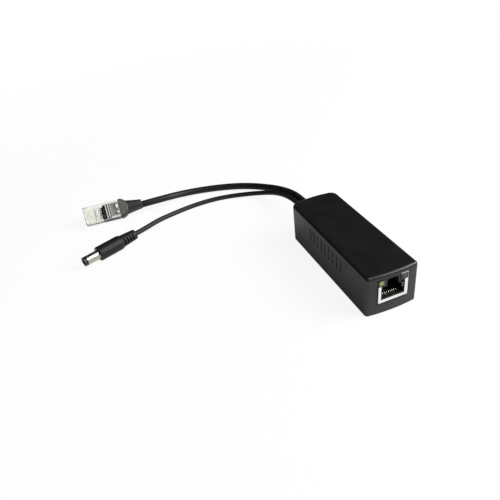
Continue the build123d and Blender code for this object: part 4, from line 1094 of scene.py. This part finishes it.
@dataclass
class PowerPlug:
    """The barrel plug and its grip, in millimetres from its tip."""

    tip: Point = (-0.13098, 0.0718, 0.0044)
    heading: float = 202.7
    front: float = 9.6
    front_rim: float = 0.55
    pocket_radius: float = 3.2
    pocket_length: float = 3.0
    radius: float = 4.4
    straight: Span = (11.1, 22.5)
    shoulder: float = 23.7
    tail: Span = (25.5, 25.8)
    end: float = 35.7
    end_rim: float = 0.6
    tail_radii: Span = (3.78, 3.12)
    slits: tuple[float, ...] = (26.2, 28.22, 30.24, 32.26)
    slit_length: float = 0.90
    slit_wall: float = 0.08
    slit_depth: float = 1.25
    slit_half_angle: float = 50.0
    slit_blend: float = 3.0
    seam_angle: float = 52.0
    seam_spread: float = 1.3
    seam_height: float = 0.06
    seam_start: float = 10.4
    seam_fade: float = 0.6
    finishes: Dressing = (
        (Finish.NICKEL, "power_plug_barrel"),
        (Finish.INSULATOR, "power_plug_insulator"),
        (Finish.NICKEL, "power_plug_centre_contact"),
    )

    def build(self, painter: Painter) -> list[Object]:
        """Makes the grip, dresses the barrel and gives all the plug's pieces."""
        return [self._grip(painter), *painter.dress(self.finishes)]

    def _profile(self) -> np.ndarray:
        """The grip's outline.

        Returns:
            Rows of (along, out) from the pocket's floor to the rear pole.
        """
        front, radius, rim = self.front, self.radius, self.front_rim
        floor = front + self.pocket_length
        body = np.linspace(*self.straight, 9)
        start, first_row = self.tail
        stop = self.end - self.end_rim
        wide, narrow = self.tail_radii
        cuts = [slit + bends(0, self.slit_length, self.slit_wall) for slit in self.slits]
        share = np.sort(np.concatenate((*cuts, [first_row, stop])))
        taper = wide + (narrow - wide) * (share - start) / (stop - start)
        parts = (
            [(floor, 0), (floor, self.pocket_radius), (front, self.pocket_radius)],
            rounded((front, radius - rim), (front + rim, radius), True),
            np.column_stack((body, np.full(len(body), radius))),
            rounded((self.shoulder, radius), (start, wide), False),
            np.column_stack((share, taper)),
            rounded((stop, narrow), (self.end, narrow - self.end_rim), False)[1:],
            [(self.end, 0)],
        )
        return np.concatenate(parts)

    def _grip(self, painter: Painter) -> Object:
        """Makes the grip.

        Returns:
            The outline turned about the plug's axis, less a slit's depth
            where a row lies in one and the angle is near level, plus a fine
            ridge along the mould's two seams.
        """
        seam = radians(self.seam_angle)
        fine = seam + np.radians([-2.4, -1.2, 0, 1.2, 2.4])
        even = np.linspace(0, 2 * pi, 120, endpoint=False)
        turn = np.unique(np.round(np.concatenate((even, fine, fine + pi)), 5))
        along, out = self._profile().T[..., None]
        slits = np.array(self.slits)
        cut = between(along, slits, slits + self.slit_length, self.slit_wall)
        blend = np.array([self.slit_blend, -self.slit_blend])
        low, high = np.cos(np.radians(self.slit_half_angle + blend))
        reach = np.clip((np.abs(np.cos(turn)) - low) / (high - low), 0, 1)
        apart = np.minimum(np.abs(turn - seam), np.abs(turn - seam - pi))
        ridge = self.seam_height * np.exp(-((apart / radians(self.seam_spread)) ** 2))
        ridge = ridge * between(along, self.seam_start, self.shoulder, self.seam_fade)
        radius = out - self.slit_depth * cut.max(axis=1, keepdims=True) * reach + ridge
        skin = Skin(painter, (Finish.GRIP,))
        skin.sheet(points(radius * np.cos(turn), along, radius * np.sin(turn)))
        heading, up = radians(self.heading), Vector((0, 0, 1))
        back = Vector((-cos(heading), -sin(heading), 0.0))
        axes = (back.cross(up), back, up)
        made = skin.piece("grip_with_slits", self.tip, axes, 40.0)
        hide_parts("power_plug_grip")
        return made


@dataclass
class Assembly:
    """A sub-assembly with CAD nodes that are shown as they are."""

    finishes: Dressing

    def build(self, painter: Painter) -> None:
        """Dresses the nodes."""
        painter.dress(self.finishes)


@dataclass
class Case(Assembly):
    """Upper case, cover and strain relief."""

    finishes: Dressing = (
        (Finish.CASE, "upper_case"),
        (Finish.COVER, "bottom_cover"),
        (Finish.CABLE, "strain_relief"),
    )


@dataclass
class Jack(Assembly):
    """The shielded jack with its contact wires, in millimetres from the port's floor."""

    port_floor: Point = (0.0, -0.0397, 0.0084)
    pitch: float = 1.02
    count: int = 8
    wire_radius: float = 0.20
    bend_centre: Span = (3.4, 0.1)
    bend_radius: float = 0.9
    rise: float = 16.0
    rear: float = 15.3
    finishes: Dressing = (
        (Finish.SHIELD, "jack_shield"),
        (Finish.HOUSING, "jack_housing"),
        (Finish.GREEN_LIGHT, "left_light"),
        (Finish.CLEAR_LIGHT, "right_light"),
    )

    def build(self, painter: Painter) -> None:
        """Makes the contact wires and dresses the jack's other nodes."""
        self._add_wires(painter)
        super().build(painter)

    def _add_wires(self, painter: Painter) -> None:
        """Makes the eight bent contact wires.

        Each is a circle carried along a line that runs forward under the
        port's floor, turns back through an arc, and rises to the rear.

        Args:
            painter: gives the wires their finish.
        """
        turn = np.radians(np.linspace(0, 180 - self.rise, 15))
        ahead = np.column_stack((-np.cos(turn), np.sin(turn)))
        bend = np.column_stack((-np.sin(turn), -np.cos(turn))) * self.bend_radius
        bend = bend + self.bend_centre
        climb = np.array([cos(radians(self.rise)), sin(radians(self.rise))])
        last = bend[-1] + climb * (self.rear - bend[-1, 0]) / climb[0]
        line = np.concatenate(([(self.rear, bend[0, 1])] * 2, bend, [last] * 2))
        heading = np.concatenate(([(-1.0, 0.0)] * 2, ahead, [climb] * 2))
        size = np.full((len(line), 1), self.wire_radius)
        size[[0, -1]] = 0
        around = np.linspace(0, 2 * pi, 10, endpoint=False)
        side, out = size * np.cos(around), size * np.sin(around)
        along, level = line[:, :1] - heading[:, 1:] * out, line[:, 1:] + heading[:, :1] * out
        skin = Skin(painter, (Finish.WIRE,))
        for place in spread(self.count, self.pitch):
            skin.sheet(points(place + side, along, level))
        made = skin.piece("contact_wires", self.port_floor, np.eye(3))
        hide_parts("jack_contacts")


@dataclass
class Inside(Assembly):
    """Circuit board and all that stands on it."""

    finishes: Dressing = (
        (Finish.BOARD, "circuit_board"),
        (Finish.PACKAGE, "isolation_transformer", "power_controller", "power_switch",
         "left_bridge_rectifier", "right_bridge_rectifier", "output_diode", "chip_resistors"),
        (Finish.WHITE_PACKAGE, "optocoupler"),
        (Finish.FERRITE, "front_core_half", "rear_core_half", "output_inductor"),
        (Finish.BOBBIN, "transformer_bobbin"),
        (Finish.WINDING, "transformer_winding"),
        (Finish.CAN, "input_capacitor", "output_capacitor"),
        (Finish.CHIP, "chip_capacitors"),
        (Finish.CORES, "data_cores", "power_cores"),
    )


def main() -> None:
    """Builds the camera, the leads, the studio and then each sub-assembly."""
    Viewpoint().build()
    painter = Painter()
    cables = [lead.build(painter) for lead in (DATA_LEAD, POWER_LEAD)]
    DataPlug().build(painter)
    PowerPlug().build(painter)
    Studio().build()
    for assembly in (Case(), Jack(), Inside()):
        assembly.build(painter)
        log.info("dressed the %s", type(assembly).__name__)


if __name__ == "__main__":
    main()
